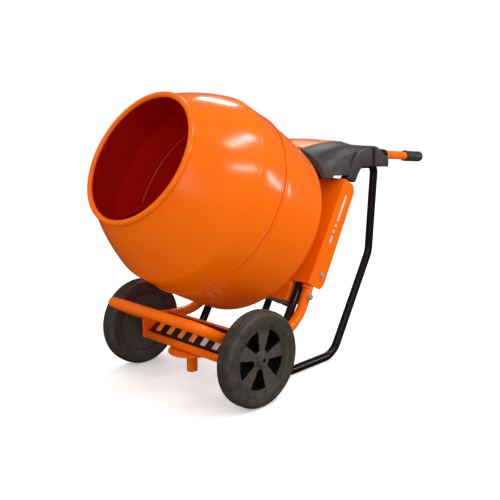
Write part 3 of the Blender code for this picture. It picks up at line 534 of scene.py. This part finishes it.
heights = np.array([-0.1860, -0.1855, -0.1800, -0.1745, -0.15, -0.1195])
depths = np.array([0.0480, 0.0520, 0.0540, 0.0540, 0.0540, 0.0540])
tray = closed(folded(TRAY_HALF, SHEET_DOWN, depths, heights), "tray", 28, flat_ends=True)
fit("guard_tray", tray, orange, "frame", "orange_paint", "lower_guard")

# A plain pale strip of reflective film down each side plate, and a blank label on the tray.
pale, tree = blank("pale_reflective_film")
place = add(tree, "TexCoord").outputs["Object"]
cells = add(tree, "TexVoronoi", {"Vector": place, "Scale": 700.0}, feature="DISTANCE_TO_EDGE")
worn = add(tree, "TexNoise", {"Vector": place, "Scale": 45.0, "Detail": 4.0})
tone = add(tree, "ValToRGB", {"Fac": worn.outputs["Fac"]})
tone.color_ramp.elements[0].color = linear("#B9C2C8")
tone.color_ramp.elements[1].color = linear("#DCE4E8")
bump = add(tree, "Bump", {"Height": cells.outputs["Distance"], "Strength": 0.1, "Distance": 0.0003})
surface = add(tree, "BsdfPrincipled", {"Base Color": tone.outputs["Color"], "Roughness": 0.35,
                                       "IOR": 1.5, "Normal": bump.outputs["Normal"]})
add(tree, "OutputMaterial", {"Surface": surface.outputs["BSDF"]})


def side_film(name, side, plate_x, bounds, lean=0.0):
    """A thin film on a side plate: bounds are (up, down) of its low and high corners."""
    (low_up, low_down), (high_up, high_down) = bounds
    outline = rounded([(low_up, low_down), (low_up, high_down), (high_up, high_down + lean),
                       (high_up, low_down + lean)], 0.0025)
    flat = slab(outline, 0.0001, 0.0007, 0.0002)
    points = on_spine(side * (plate_x + flat[..., 2]), flat[..., 0], flat[..., 1])
    fit(name, closed(points, "film", 30), pale, "frame", "decal_black")


for word, side in SIDES:
    for mark, (low, high) in enumerate(((0.028, 0.052), (0.062, 0.072), (0.082, 0.092),
                                        (0.102, 0.190))):
        side_film(f"channel_{word}_strip_{mark}", side, CHANNEL_HALF,
                  ((low, 0.6360), (high, 0.6440)), -0.0005)
side_film("guard_blank_label", 1, TRAY_HALF, ((-0.172, 0.622), (-0.128, 0.652)))


# ---- 9. bolts and link plates -------------------------------------------------------
# Zinc-plated hexagon bolts on flat washers hold the channel and the rails.  A stamped
# plate ties each rail to its side frame.  Zinc shows pale, bluish and slightly cloudy.
zinc = bare_steel("bright_zinc_plate", "#CBD4D8", "#A3AEB3", 0.30, 0.5)
dress(zinc, "rail_plate_left", "rail_plate_right", "drum_nut")


def bolt(washer, head=0.0066):
    """A turned washer, then a head whose radius follows a hexagon: flat distance over the
    cosine of the angle from the nearest flat, with its top corners turned off."""
    angle = np.linspace(0, math.tau, 72, endpoint=False)
    hexagon = head * math.cos(math.pi / 6) / np.cos((angle % (math.tau / 6)) - math.pi / 6)
    rows = [(0, 0.0), (washer - 0.0003, 0.0), (washer, 0.0003), (washer, 0.0013),
            (washer - 0.0003, 0.0016)]
    rings = [(np.full(72, radius), height) for radius, height in rows]
    rings += [(hexagon, 0.0016), (hexagon, 0.0062), (np.minimum(hexagon, head * 0.92), 0.0068),
              (np.full(72, head * 0.80), 0.0072), (np.full(72, head * 0.45), 0.0072),
              (np.full(72, head * 0.40), 0.0069), (np.zeros(72), 0.0069)]
    return np.stack([np.stack([radius * np.cos(angle), radius * np.sin(angle),
                               np.full(72, height)], -1) for radius, height in rings])


bolt_spots = {"channel_bolt": (0.2193, on_spine(0, -0.075, 0.655), 0.0085),
              "rail_bolt": (0.2218, from_axle(0, 0.2790, 0.2545), 0.0105)}
for stem, (out, spot, washer) in bolt_spots.items():
    for word, side in SIDES:
        shape = bolt(washer)
        shape = np.stack([side * (out + shape[..., 2]), spot[1] + shape[..., 0],
                          spot[2] + shape[..., 1]], -1)
        fit(f"{stem}_{word}_hex", closed(shape, "bolt", 25), zinc, "frame", "zinc",
            f"{stem}_{word}")


# ---- 10. drum -----------------------------------------------------------------------
# A spun cone and a deep-drawn pan of 2.5 mm sheet, lapped together under a raised ring,
# with a rolled bead round the mouth.  Powder coated outside; the inside takes a deeper
# red, a painted shade for the dimmer light inside the drum.
inside_shade_red = powder_coat("drum_inside_painted_shade", "#E01A00", "#CC1200", 0.06, 0.30)


def bowed(start, end, bulge, steps):
    """Points from start to end, lifted off the chord by a parabola of that height."""
    start, end = np.array(start), np.array(end)
    share = np.linspace(0, 1, steps + 1)[:, None]
    run = end - start
    side = np.array([run[1], -run[0]]) / np.linalg.norm(run)
    return start + run * share + side * 4 * share * (1 - share) * bulge


def eased(line, rounds=2):
    """Corner cutting: each pass replaces every inner corner by points at 1/4 and 3/4."""
    for _ in range(rounds):
        cut = np.stack([line[:-1] * 0.75 + line[1:] * 0.25, line[:-1] * 0.25 + line[1:] * 0.75], 1)
        line = np.concatenate([line[:1], cut.reshape(-1, 2), line[-1:]])
    return line


def sheet_wall(outer, thickness):
    """The line of (radius, down) and its inner copy, one thickness in along the normal."""
    run = np.gradient(outer, axis=0)
    run /= np.linalg.norm(run, axis=1, keepdims=True)
    inner = outer + np.column_stack([-run[:, 1], run[:, 0]]) * thickness
    return np.concatenate([outer, inner[::-1]]), len(outer)


def on_drum(points):
    """Shapes turned about Z laid on the drum's axis: height is the distance down it."""
    return on_spine(points[..., 0], points[..., 1], points[..., 2])


def drum_sheet(name, outer, node, steps=192):
    """A wall turned round the drum's axis, whose inner rows take the painted shade red."""
    section, count = sheet_wall(np.asarray(outer, float), 0.0024)
    mesh = skin(name, on_drum(turned(section, steps)), True, True, 40)
    inner = np.repeat(np.arange(len(section)) >= count - 1, steps)
    fit(f"{name}_wall", mesh, orange, "drum", "orange_paint", node, second=(inside_shade_red, inner))


bead_turn = np.radians(np.linspace(-95, 140, 20))
BEAD_R, MOUTH_R = 0.0082, 0.1932
bead = np.column_stack([MOUTH_R + BEAD_R * np.sin(bead_turn), BEAD_R - BEAD_R * np.cos(bead_turn)])
drum_shoulder = np.array([(0.2903, 0.1842), (0.2922, 0.1886), (0.2937, 0.1960)])
cone = np.concatenate([bowed((0.1978, 0.0172), (0.2897, 0.1825), 0.0068, 24),
                       eased(drum_shoulder, 3)[1:],
                       [(0.2945, 0.2200), (0.2953, 0.2440), (0.2956, 0.2760)],
                       [(0.2956, 0.2780), (0.2943, 0.2790), (0.2943, 0.2800), (0.2957, 0.2812),
                        (0.2957, 0.2864)]])
drum_sheet("drum_cone", np.concatenate([bead, cone]), "drum_front_cone")
pan = np.concatenate([[(0.2962, 0.2871), (0.2982, 0.2872)],
                      eased(np.array([(0.2985, 0.2876), (0.2990, 0.2890), (0.2990, 0.2925),
                                      (0.2984, 0.2946), (0.2960, 0.2962), (0.2947, 0.2980),
                                      (0.2952, 0.3005)]), 2)[1:],
                      bowed((0.2957, 0.3040), (0.2852, 0.4730), 0.0022, 10),
                      eased(np.array([(0.2846, 0.4790), (0.2812, 0.4890), (0.2735, 0.4995),
                                      (0.2620, 0.5068), (0.2300, 0.5190)]), 3)[1:],
                      [(0.2000, 0.5270), (0.1600, 0.5368), (0.1200, 0.5460), (0.0700, 0.5560),
                       (0.0181, 0.5566)]])
drum_sheet("drum_pan", pan, "drum_rear_pan")

paddle_share = np.linspace(0, 1, 49)[:, None]
across_share = np.linspace(0, 1, 9)[None]
down = 0.196 + 0.274 * paddle_share
lap_wall = np.where(down < 0.287, 0.2890 + (down - 0.189) / 0.098 * 0.0018,
                    0.2915 - np.maximum(down - 0.300, 0) * 0.060) - 0.0050
paddle_height = 0.009 + 0.041 * np.sin(math.pi * np.minimum(1, 0.12 + paddle_share) ** 0.8)
# The paddles take the same painted shade red as the drum's inside.
for letter, turn in (("a", 0.0), ("b", math.pi)):
    angle = turn + np.radians(-154 - 52 * paddle_share) + across_share * 0.05
    radius = lap_wall - paddle_height * across_share
    sheet = on_spine(radius * np.cos(angle), radius * np.sin(angle), down + 0 * radius)
    paddle = fit(f"paddle_{letter}_plate", skin("paddle", sheet), inside_shade_red, "drum",
                 "orange_paint", f"mixing_blade_{letter}")
    wall = paddle.modifiers.new("sheet", "SOLIDIFY")
    wall.thickness, wall.offset = 0.0035, 0.0


# ---- 11. hub, gearcase, motor -------------------------------------------------------
# A cast hub carries the drum on its shaft.  The gearcase and motor shields are pressure
# die castings, matt grey with a cast grain; the fan cowl is a black moulding.
cast = finish("die_cast_aluminium", "#8F8D88", "#B4B2AC", (18.0, 5.0), rough=0.48,
              grain=(650.0, 4.0), strength=0.35, depth=0.0004, Metallic=0.6)
dress(cast, "gearcase_body", "gearcase_cover", "motor_body")
dress(etched, "motor_fan")

MOTOR_UP = -0.110
turned_parts = {
    "drum_hub": (0.0, iron, "drum", "iron", [
        (0.0180, 0.5576), (0.0590, 0.5598), (0.0612, 0.5606), (0.0620, 0.5622), (0.0620, 0.5672),
        (0.0612, 0.5682), (0.0400, 0.5698), (0.0330, 0.5712), (0.0300, 0.5740), (0.0286, 0.5790),
        (0.0280, 0.5850), (0.0272, 0.5860), (0.0180, 0.5860)]),
    "motor_end_shield": (MOTOR_UP, cast, "frame", "cast_aluminium", [
        (0.0165, 0.6653), (0.0560, 0.6653), (0.0600, 0.6662), (0.0616, 0.6678), (0.0620, 0.6700),
        (0.0620, 0.6786), (0.0616, 0.6790), (0.0165, 0.6790)]),
    "motor_rear_shield": (MOTOR_UP, cast, "frame", "cast_aluminium", [
        (0.0083, 0.7653), (0.0596, 0.7653), (0.0600, 0.7657), (0.0600, 0.7696), (0.0596, 0.7700),
        (0.0083, 0.7700)]),
    "motor_fan_cowl": (MOTOR_UP, etched, "frame", "black_paint", [
        (0.0620, 0.7665), (0.0642, 0.7665), (0.0645, 0.7668), (0.0645, 0.8040), (0.0638, 0.8064),
        (0.0575, 0.8138), (0.0555, 0.8149), (0.0530, 0.8150), (0.0490, 0.8150), (0.0485, 0.8141),
        (0.0460, 0.8141), (0.0455, 0.8150), (0.0410, 0.8150), (0.0405, 0.8141), (0.0380, 0.8141),
        (0.0375, 0.8150), (0.0330, 0.8150), (0.0325, 0.8141), (0.0300, 0.8141), (0.0295, 0.8150),
        (0.0205, 0.8150), (0.0200, 0.8145), (0.0200, 0.8130), (0.0550, 0.8130), (0.0620, 0.8042)]),
}
for name, (up, material, body, slot, section) in turned_parts.items():
    shape = turned(section, 96)
    mesh = skin(name, on_spine(shape[..., 0], up + shape[..., 1], shape[..., 2]), True, True)
    fit(f"{name}_turned", mesh, material, body, slot, name)


# ---- 12. hood -----------------------------------------------------------------------
# One vacuum-formed cover of textured black ABS over the channel's head and the handles.
# Its front lip is an arc round the drum; a broad arch on each side runs back to the grips.
grained = finish("grained_black_abs", "#332D2B", "#3E3735", (14.0, 4.0), (0.35, 0.65), (0.40, 0.56),
                 "grain", (520.0, 3.0, 0.6), 0.22, 0.0004, IOR=1.54)


def through(points, spots):
    """A curve through points at fractional places: a cubic on the two points each side,
    whose slope at a point is half the step between its neighbours (Catmull-Rom)."""
    spots = np.asarray(spots, float)
    k = np.clip(spots.astype(int), 0, len(points) - 2)
    share = (spots - k).reshape(-1, *([1] * (points.ndim - 1)))
    longer = np.concatenate([2 * points[:1] - points[1:2], points, 2 * points[-1:] - points[-2:-1]])
    a, b, c, d = longer[k], longer[k + 1], longer[k + 2], longer[k + 3]
    return 0.5 * (2 * b + (c - a) * share + (2 * a - 5 * b + 4 * c - d) * share ** 2
                  + (3 * b - a - 3 * c + d) * share ** 3)


LIP_R, LIP_DOWN = 0.2960, 0.5210
lip_angle = np.radians([0, 16, 26, 34, 40, 46])
lip = on_spine(LIP_R * np.sin(lip_angle), LIP_R * np.cos(lip_angle), LIP_DOWN) - [0, AXLE.y, 0]
stations = np.array([            # each from the middle of the deck out and down to its lower edge
    lip,
    [(0.0, 0.462, 0.7130), (0.105, 0.455, 0.7050), (0.158, 0.452, 0.6930),
     (0.190, 0.448, 0.6680), (0.202, 0.446, 0.6400), (0.206, 0.444, 0.6130)],
    [(0.0, 0.505, 0.7150), (0.124, 0.500, 0.7120), (0.172, 0.498, 0.7000),
     (0.198, 0.492, 0.6760), (0.209, 0.484, 0.6420), (0.212, 0.478, 0.6120)],
    [(0.0, 0.540, 0.7150), (0.135, 0.538, 0.7110), (0.178, 0.534, 0.7020),
     (0.200, 0.527, 0.6860), (0.207, 0.513, 0.6500), (0.207, 0.508, 0.6150)],
    [(0.0, 0.552, 0.7060), (0.142, 0.550, 0.7010), (0.184, 0.550, 0.6970),
     (0.203, 0.549, 0.6890), (0.2065, 0.546, 0.6650), (0.2065, 0.546, 0.6380)],
    [(0.0, 0.610, 0.7000), (0.150, 0.608, 0.6970), (0.190, 0.606, 0.6960),
     (0.205, 0.604, 0.6920), (0.2065, 0.602, 0.6700), (0.2065, 0.600, 0.6330)],
    [(0.0, 0.665, 0.6930), (0.150, 0.662, 0.6900), (0.192, 0.650, 0.6910),
     (0.205, 0.642, 0.6850), (0.2065, 0.642, 0.6650), (0.2065, 0.642, 0.6310)],
    [(0.0, 0.691, 0.6860), (0.150, 0.691, 0.6800), (0.194, 0.691, 0.6640),
     (0.205, 0.691, 0.6480), (0.2065, 0.691, 0.6420), (0.2065, 0.691, 0.6260)]])

ways = stations.swapaxes(0, 1)
across = np.concatenate([through(ways[:2], np.linspace(0, 1, 30))[:-1],
                         through(ways[1:4], np.linspace(0, 2, 30))[:-1],
                         through(ways[3:], np.linspace(0, 2, 24))]).swapaxes(0, 1)
step = np.linspace(0, 1, 6)[1:-1, None, None]
FRONT_ROWS = 66
half = np.concatenate([through(across[:4], np.linspace(0, 3, FRONT_ROWS)),
                       across[3] * (1 - step) + across[4] * step,
                       through(across[4:], np.linspace(0, 3, 60))])
# A low ridge runs back over each shoulder, just inside the deck's edge.
ridge = np.exp(-((np.arange(half.shape[1]) - 28.5) / 1.1) ** 2)
half[:FRONT_ROWS, :, 2] += 0.0022 * ridge * np.linspace(0.5, 1, FRONT_ROWS)[:, None]
mirrored = half[:, :0:-1] * [-1, 1, 1]
hood_grid = np.concatenate([mirrored, half], 1)


def relaxed(grid, rounds):
    """Each inner point moves halfway to the mean of its four neighbours, round after
    round, which turns sharp creases into moulded radii; the outer edge stays."""
    grid = grid.copy()
    for _ in range(rounds):
        mean = (grid[:-2, 1:-1] + grid[2:, 1:-1] + grid[1:-1, :-2] + grid[1:-1, 2:]) / 4
        grid[1:-1, 1:-1] += (mean - grid[1:-1, 1:-1]) * 0.5
    return grid


hood_grid = relaxed(hood_grid, 2)

# The lip turns down and back into a flange, deepest half-way down each side.
middle = hood_grid.shape[1] // 2
near_edge = np.clip((np.abs(np.arange(hood_grid.shape[1]) - middle) - (middle - 12)) / 12, 0, 1)
skirt = (np.clip((hood_grid[..., 1] - 0.350) / 0.012, 0, 1)
         * np.clip((0.405 - hood_grid[..., 1]) / 0.008, 0, 1) * near_edge)
hood_grid[..., 2] -= 0.0095 * skirt
lip_line = hood_grid[0]
reach = np.abs(np.arctan2(lip_line[:, 0], (lip_line[:, 2] - 0.6) + 0.20))
flange_depth = 0.0015 + 0.0145 * np.sin(np.clip((reach - 0.16) / 0.75, 0, 1) * math.pi)
toward = on_spine(0, 0, LIP_DOWN) - [0, AXLE.y, 0] - lip_line
toward /= np.linalg.norm(toward, axis=1, keepdims=True)
flange = [lip_line + toward * flange_depth[:, None] * share - DOWN * 0.003 * share
          for share in (1.0, 0.66, 0.33, 0.08)]
hood_grid = np.concatenate([np.stack(flange), hood_grid])
hood_grid += [0, AXLE.y, 0]

cover = skin("cover", hood_grid, sharp=45)
bm = bmesh.new()
bm.from_mesh(cover)
if sum(face.normal.z * face.calc_area() for face in bm.faces) < 0:
    bmesh.ops.reverse_faces(bm, faces=bm.faces)
bm.to_mesh(cover)
bm.free()
cover = fit("hood_cover", cover, grained, "frame", "hood_plastic", "hood")
wall = cover.modifiers.new("wall", "SOLIDIFY")
wall.thickness, wall.offset = 0.0028, -1.0

# The front wall slopes from the flange back to the channel's head.
foot_x = np.linspace(-0.188, 0.188, hood_grid.shape[1])
foot = on_spine(foot_x, 0.2270, 0.6065)
share = np.linspace(0, 1, 12)[:, None, None]
front_wall = skin("front_wall", hood_grid[0][None] * (1 - share) + foot[None] * share)
front_wall = fit("hood_front_wall", front_wall, grained, "frame", "hood_plastic")
wall = front_wall.modifiers.new("wall", "SOLIDIFY")
wall.thickness, wall.offset = 0.0024, 0.0


def moulded_slab(outline, low, high, ease):
    """A flat outline drawn from low to high, its outer edge turned over a quarter circle:
    a ring at angle t is inset by ease x (1 - sin t) and stands at high - ease x (1 - cos t)."""
    along = np.roll(outline, -1, 0) - np.roll(outline, 1, 0)
    normal = np.column_stack([along[:, 1], -along[:, 0]])
    normal /= np.linalg.norm(along, axis=1, keepdims=True)
    following = np.roll(outline, -1, 0)
    area = np.sum(outline[:, 0] * following[:, 1] - outline[:, 1] * following[:, 0])
    normal *= np.sign(area)
    rings = [(outline - normal * ease * (1 - math.sin(t)), high - ease * (1 - math.cos(t)))
             for t in np.radians([0, 22, 45, 68, 90])]
    rings.append((outline, low))
    return np.stack([np.column_stack([flat, np.full(len(flat), level)]) for flat, level in rings])


# Flat wings close the hood's sides, parted by an upright slot over each side frame.
arch = np.array([(0.4700, 0.6010), (0.4865, 0.6439), (0.5079, 0.6690), (0.5384, 0.6850),
                 (0.5800, 0.6925), (0.5945, 0.6932)])
inner_arch = np.array([(0.5945, 0.6303), (0.5574, 0.6325), (0.5395, 0.6280), (0.5228, 0.6110),
                       (0.5120, 0.5920)])
wings = {"front": np.concatenate([through(arch, np.linspace(0, 5, 40)),
                                  through(inner_arch, np.linspace(0, 4, 40)),
                                  [(0.5075, 0.5878), (0.5000, 0.5870)]]),
         "rear": rounded([(0.6125, 0.6934), (0.6245, 0.6934), (0.6890, 0.6530), (0.6915, 0.6480),
                          (0.6915, 0.6232), (0.6125, 0.6290)], 0.004)}
for part, outline in wings.items():
    shape = moulded_slab(outline, 0.1990, 0.2145, 0.0035)
    for word, side in SIDES:
        points = np.stack([side * shape[..., 2], AXLE.y + shape[..., 0], shape[..., 1]], -1)
        fit(f"hood_{word}_{part}_wing", closed(points, "wing", 40, flat_ends=True), grained,
            "frame", "hood_plastic")

# Orange film on the deck, with one plain grey stripe.
deck_film, tree = blank("printed_deck_film")
place = add(tree, "TexCoord").outputs["Object"]
where = add(tree, "SeparateXYZ", {"Vector": place})
after = add(tree, "Math", {0: where.outputs["Y"], 1: AXLE.y + 0.478}, operation="GREATER_THAN")
before = add(tree, "Math", {0: where.outputs["Y"], 1: AXLE.y + 0.500}, operation="LESS_THAN")
stripe = add(tree, "Math", {0: after.outputs["Value"], 1: before.outputs["Value"]},
             operation="MULTIPLY")
spread = add(tree, "Math", {0: where.outputs["X"]}, operation="ABSOLUTE")
inner = add(tree, "Math", {0: spread.outputs["Value"], 1: 0.085}, operation="LESS_THAN")
stripe = add(tree, "Math", {0: stripe.outputs["Value"], 1: inner.outputs["Value"]},
             operation="MULTIPLY")
tone = add(tree, "ValToRGB", {"Fac": stripe.outputs["Value"]})
tone.color_ramp.elements[0].color = linear("#F5811F")
tone.color_ramp.elements[1].color = linear("#8F8078")
fine = add(tree, "TexNoise", {"Vector": place, "Scale": 600.0})
bump = add(tree, "Bump", {"Height": fine.outputs["Fac"], "Strength": 0.05, "Distance": 0.0002})
surface = add(tree, "BsdfPrincipled", {"Base Color": tone.outputs["Color"], "Roughness": 0.34,
                                       "IOR": 1.5, "Normal": bump.outputs["Normal"]})
add(tree, "OutputMaterial", {"Surface": surface.outputs["BSDF"]})

deck = through(through(ways[:2], np.linspace(0, 0.88, 30)).swapaxes(0, 1),
               np.linspace(0.18, 2.85, 60))
deck = np.concatenate([deck[:, :0:-1] * [-1, 1, 1], deck], 1) + [0, AXLE.y, 0.0004]
film_piece = fit("deck_film", skin("deck", deck), deck_film, "frame", "decal_orange", "hood_decal")
wall = film_piece.modifiers.new("film", "SOLIDIFY")
wall.thickness, wall.offset = 0.0009, 1.0


# ---- 13. handles and grips ----------------------------------------------------------
# Two 28 mm tubes, powder coated orange, run back from black sockets under the hood's
# rear.  Soft moulded grips push on, with a collar, finger ridges below and a closed end.
handle_from, handle_to = np.array([0.6300, 0.6690]), np.array([0.9150, 0.6420])
GRIP_LENGTH, HANDLE_R, HANDLE_X = 0.094, 0.014, 0.188
handle_way = (handle_to - handle_from) / np.linalg.norm(handle_to - handle_from)


def on_handle(points, side, start):
    """Shapes turned about Z laid along a handle, with +Y of the shape facing down."""
    x, y, z = points[..., 0], points[..., 1], points[..., 2]
    back = start[0] + handle_way[0] * z + handle_way[1] * y
    up = start[1] + handle_way[1] * z - handle_way[0] * y
    return np.stack([side * HANDLE_X + x, AXLE.y + back, up], -1)


GRIP_R, RIBS_FROM, RIBS_LENGTH, RIB_HIGH, RIBS = 0.0172, 0.0095, 0.0735, 0.0016, 5
grip_collar = np.array([(0.0143, 0.0000), (0.0176, 0.0000), (0.0186, 0.0008), (0.0190, 0.0025),
                        (0.0188, 0.0045), (0.0178, 0.0058), (GRIP_R, 0.0075)])
ribbed = np.linspace(RIBS_FROM, RIBS_FROM + RIBS_LENGTH, 60)
grip_end = np.array([(0.0175, 0.0850), (0.0182, 0.0872), (0.0182, 0.0888), (0.0176, 0.0905),
                     (0.0180, 0.0925), (0.0172, 0.0960), (0.0150, 0.0985), (0.0110, 0.0998),
                     (0.0060, 0.1000), (0.0, 0.1000)])
grip_section = np.concatenate([grip_collar, np.column_stack([np.full(60, GRIP_R), ribbed]),
                               grip_end, [(0.0, 0.0945), (0.0143, 0.0945)]])
for word, side in SIDES:
    tube = np.stack([from_axle(side * HANDLE_X, *(handle_from + (handle_to - handle_from) * share))
                     for share in np.linspace(0, 1, 5)])
    fit(f"handle_{word}_tube", closed(bar(tube, HANDLE_R, 36), "handle"), orange, "frame",
        "orange_paint", f"handle_{word}")
    socket = turned([(0.0143, -0.0020), (0.0172, -0.0020), (0.0178, -0.0014), (0.0178, 0.0660),
                     (0.0175, 0.0672), (0.0168, 0.0680), (0.0143, 0.0680)], 48)
    fit(f"handle_{word}_socket", skin("socket", on_handle(socket, side, handle_from), True, True),
        black, "frame", "black_paint", f"handle_socket_{word}")
    shape = turned(grip_section, 48)
    angle = np.arctan2(shape[..., 1], shape[..., 0])
    along_ribs = (shape[..., 2] - RIBS_FROM) / RIBS_LENGTH
    wave = np.sin(along_ribs * math.tau * RIBS - math.pi / 2) * 0.5 + 0.5
    under = np.clip(np.sin(angle), 0, 1) ** 0.8
    over = 0.25 * np.clip(-np.sin(angle), 0, 1)
    on_ribs = ((along_ribs > -0.005) & (along_ribs < 1.005)
               & (np.hypot(shape[..., 0], shape[..., 1]) > 0.0165))
    swell = 1 + np.where(on_ribs, wave * (under + over) * RIB_HIGH / GRIP_R, 0)
    shape[..., :2] *= swell[..., None]
    shape = on_handle(shape, side, handle_to - handle_way * GRIP_LENGTH)
    fit(f"grip_{word}_moulding", skin("grip", shape, True, True), grained, "frame", "grip_rubber",
        f"grip_{word}")


# ---- 14. switch box, buttons and inlet ----------------------------------------------
# A moulded switch box hangs under the hood's rear edge with a green start and a red stop
# button on 3 mm of travel.  The shrouded blue mains inlet points down below it.
def glossy_plastic(name, light, dark):
    """Injection moulded plastic: faint flow clouding in the tone and a fine etched skin."""
    return finish(name, dark, light, (70.0, 3.0), rough=0.32, grain=(1300.0, 2.0), strength=0.15,
                  depth=0.0002, IOR=1.49)


dress(etched, "switch_box")
green = glossy_plastic("moulded_green_acetal", "#1F8A3C", "#187231")
red = glossy_plastic("moulded_red_acetal", "#C4201C", "#A81814")
buttons = {"start_button": (0.020, green, "green_button"),
           "stop_button": (-0.020, red, "red_button")}
for name, (x, material, slot) in buttons.items():
    shape = turned([(0.0, -0.0060), (0.0110, -0.0060), (0.0115, -0.0055), (0.0115, 0.0045),
                    (0.0112, 0.0054), (0.0104, 0.0060), (0.0090, 0.0058), (0.0070, 0.0054),
                    (0.0, 0.0052)], 64)
    spot = from_axle(x, 0.6700, 0.6540)
    shape = spot + shape[..., [0, 2, 1]]
    fit(f"{name}_cap", closed(shape, name, 35), material, name, slot, name)

blue = glossy_plastic("moulded_blue_nylon", "#1F55A8", "#194789")
shape = turned([(0.0, 0.0), (0.0184, 0.0), (0.0190, 0.0006), (0.0190, 0.0240), (0.0186, 0.0246),
                (0.0186, 0.0262), (0.0190, 0.0268), (0.0190, 0.0292), (0.0182, 0.0300),
                (0.0170, 0.0300), (0.0165, 0.0294), (0.0165, 0.0064), (0.0160, 0.0060),
                (0.0, 0.0060)], 72)
spot = from_axle(0, 0.6400, 0.6172)
shape = spot + shape * [1, 1, -1]
fit("inlet_shroud", closed(shape, "inlet", 35), blue, "frame", "blue_plastic", "mains_inlet")


# ---- 15. floor, light and camera ----------------------------------------------------
# A white paper sweep under a plain white sky, with strip lights for the drum's highlights.
# Paper and sky look white, but light the mixer and show in its gloss as greys, which
# keeps the paint deep in colour.
paper, tree = blank("matt_white_paper")
place = add(tree, "TexCoord").outputs["Object"]
fibre = add(tree, "TexNoise", {"Vector": place, "Scale": 90.0, "Detail": 3.0})
tone = add(tree, "ValToRGB", {"Fac": fibre.outputs["Fac"]})
tone.color_ramp.elements[0].color = linear("#F6F6F6")
tone.color_ramp.elements[1].color = linear("#FCFCFC")
seen = add(tree, "LightPath")
lit = add(tree, "BsdfDiffuse", {"Color": tone.outputs["Color"]})
glow = add(tree, "Emission", {"Color": (1, 1, 1, 1), "Strength": 0.30})
bright = add(tree, "AddShader", {0: lit.outputs["BSDF"], 1: glow.outputs["Emission"]})
dim = add(tree, "BsdfDiffuse", {"Color": linear("#B4B4B4")})
dark = add(tree, "BsdfDiffuse", {"Color": linear("#303030")})
unseen = add(tree, "MixShader", {0: seen.outputs["Is Glossy Ray"], 1: dim.outputs["BSDF"],
                                 2: dark.outputs["BSDF"]})
surface = add(tree, "MixShader", {0: seen.outputs["Is Camera Ray"], 1: unseen.outputs["Shader"],
                                  2: bright.outputs["Shader"]})
add(tree, "OutputMaterial", {"Surface": surface.outputs["Shader"]})
rim = turned([(0.0, 0.0), (3.0, 0.0), (9.0, 0.0)], 96) - [0, 0, 0.0004]
floor = bpy.data.objects.new("floor", skin("floor", rim, True))
bpy.context.scene.collection.objects.link(floor)
floor.data.materials.append(paper)

world = bpy.data.worlds.new("studio")
bpy.context.scene.world = world
world.use_nodes = True
sky = world.node_tree
sky.nodes.clear()
seen = add(sky, "LightPath")
strength = add(sky, "Math", {0: seen.outputs["Is Glossy Ray"], 1: -0.88, 2: 1.00},
               operation="MULTIPLY_ADD")
backdrop = add(sky, "Background", {"Color": (1, 1, 1, 1), "Strength": strength.outputs["Value"]})
add(sky, "OutputWorld", {"Surface": backdrop.outputs["Background"]})


def light(name, place, target, size, power):
    """A rectangular area light at a place, turned to a target."""
    lamp = bpy.data.lights.new(name, "AREA")
    lamp.shape, lamp.size, lamp.size_y, lamp.energy = "RECTANGLE", size[0], size[1], power
    holder = bpy.data.objects.new(name, lamp)
    bpy.context.scene.collection.objects.link(holder)
    place, target = Vector(place), Vector(target)
    holder.matrix_world = (Matrix.Translation(place)
                           @ (target - place).to_track_quat("-Z", "Y").to_matrix().to_4x4())


def toward_sky(azimuth, elevation):
    """A unit direction from its azimuth round from +X and its elevation."""
    azimuth, elevation = math.radians(azimuth), math.radians(elevation)
    return np.array([math.cos(azimuth) * math.cos(elevation),
                     math.sin(azimuth) * math.cos(elevation), math.sin(elevation)])


drum_middle = np.array([0.0, AXLE.y + 0.02, 0.56])
LIGHT_REACH = 3.0
# Each strip's azimuth and elevation in degrees, its width and height, and its watts.
strips = {"strip_over": (38, 51, 1.30, 0.24, 22), "strip_side": (12, 30.5, 0.80, 0.13, 9),
          "strip_back": (124, 40, 0.60, 0.22, 11), "strip_low": (52, 9, 0.20, 0.50, 6)}
for name, (azimuth, elevation, wide, tall, power) in strips.items():
    place = drum_middle + toward_sky(azimuth, elevation) * LIGHT_REACH
    light(name, place, drum_middle, (wide, tall), power)
light("soft_key", (2.4, -2.6, 1.6), drum_middle, (2.2, 2.2), 16)

shot = bpy.data.cameras.new("shot")
shot.lens, shot.sensor_width, shot.clip_start = 53.87, 36, 0.05
camera = bpy.data.objects.new("shot", shot)
bpy.context.scene.collection.objects.link(camera)
bearing, height, roll = math.radians(44.62), math.radians(11.81), -0.0079
back = np.array([math.sin(bearing) * math.cos(height), -math.cos(bearing) * math.cos(height),
                 math.sin(height)])
level = np.array([math.cos(bearing), math.sin(bearing), 0.0])
above = np.cross(back, level)
right = level * math.cos(roll) + above * math.sin(roll)
above = above * math.cos(roll) - level * math.sin(roll)
matrix = np.eye(4)
matrix[:3, 0], matrix[:3, 1], matrix[:3, 2] = right, above, back
matrix[:3, 3] = (1.650, -1.74526, 0.8677)
camera.matrix_world = Matrix(matrix.tolist())
bpy.context.scene.camera = camera
bpy.context.scene.view_settings.view_transform = "Standard"
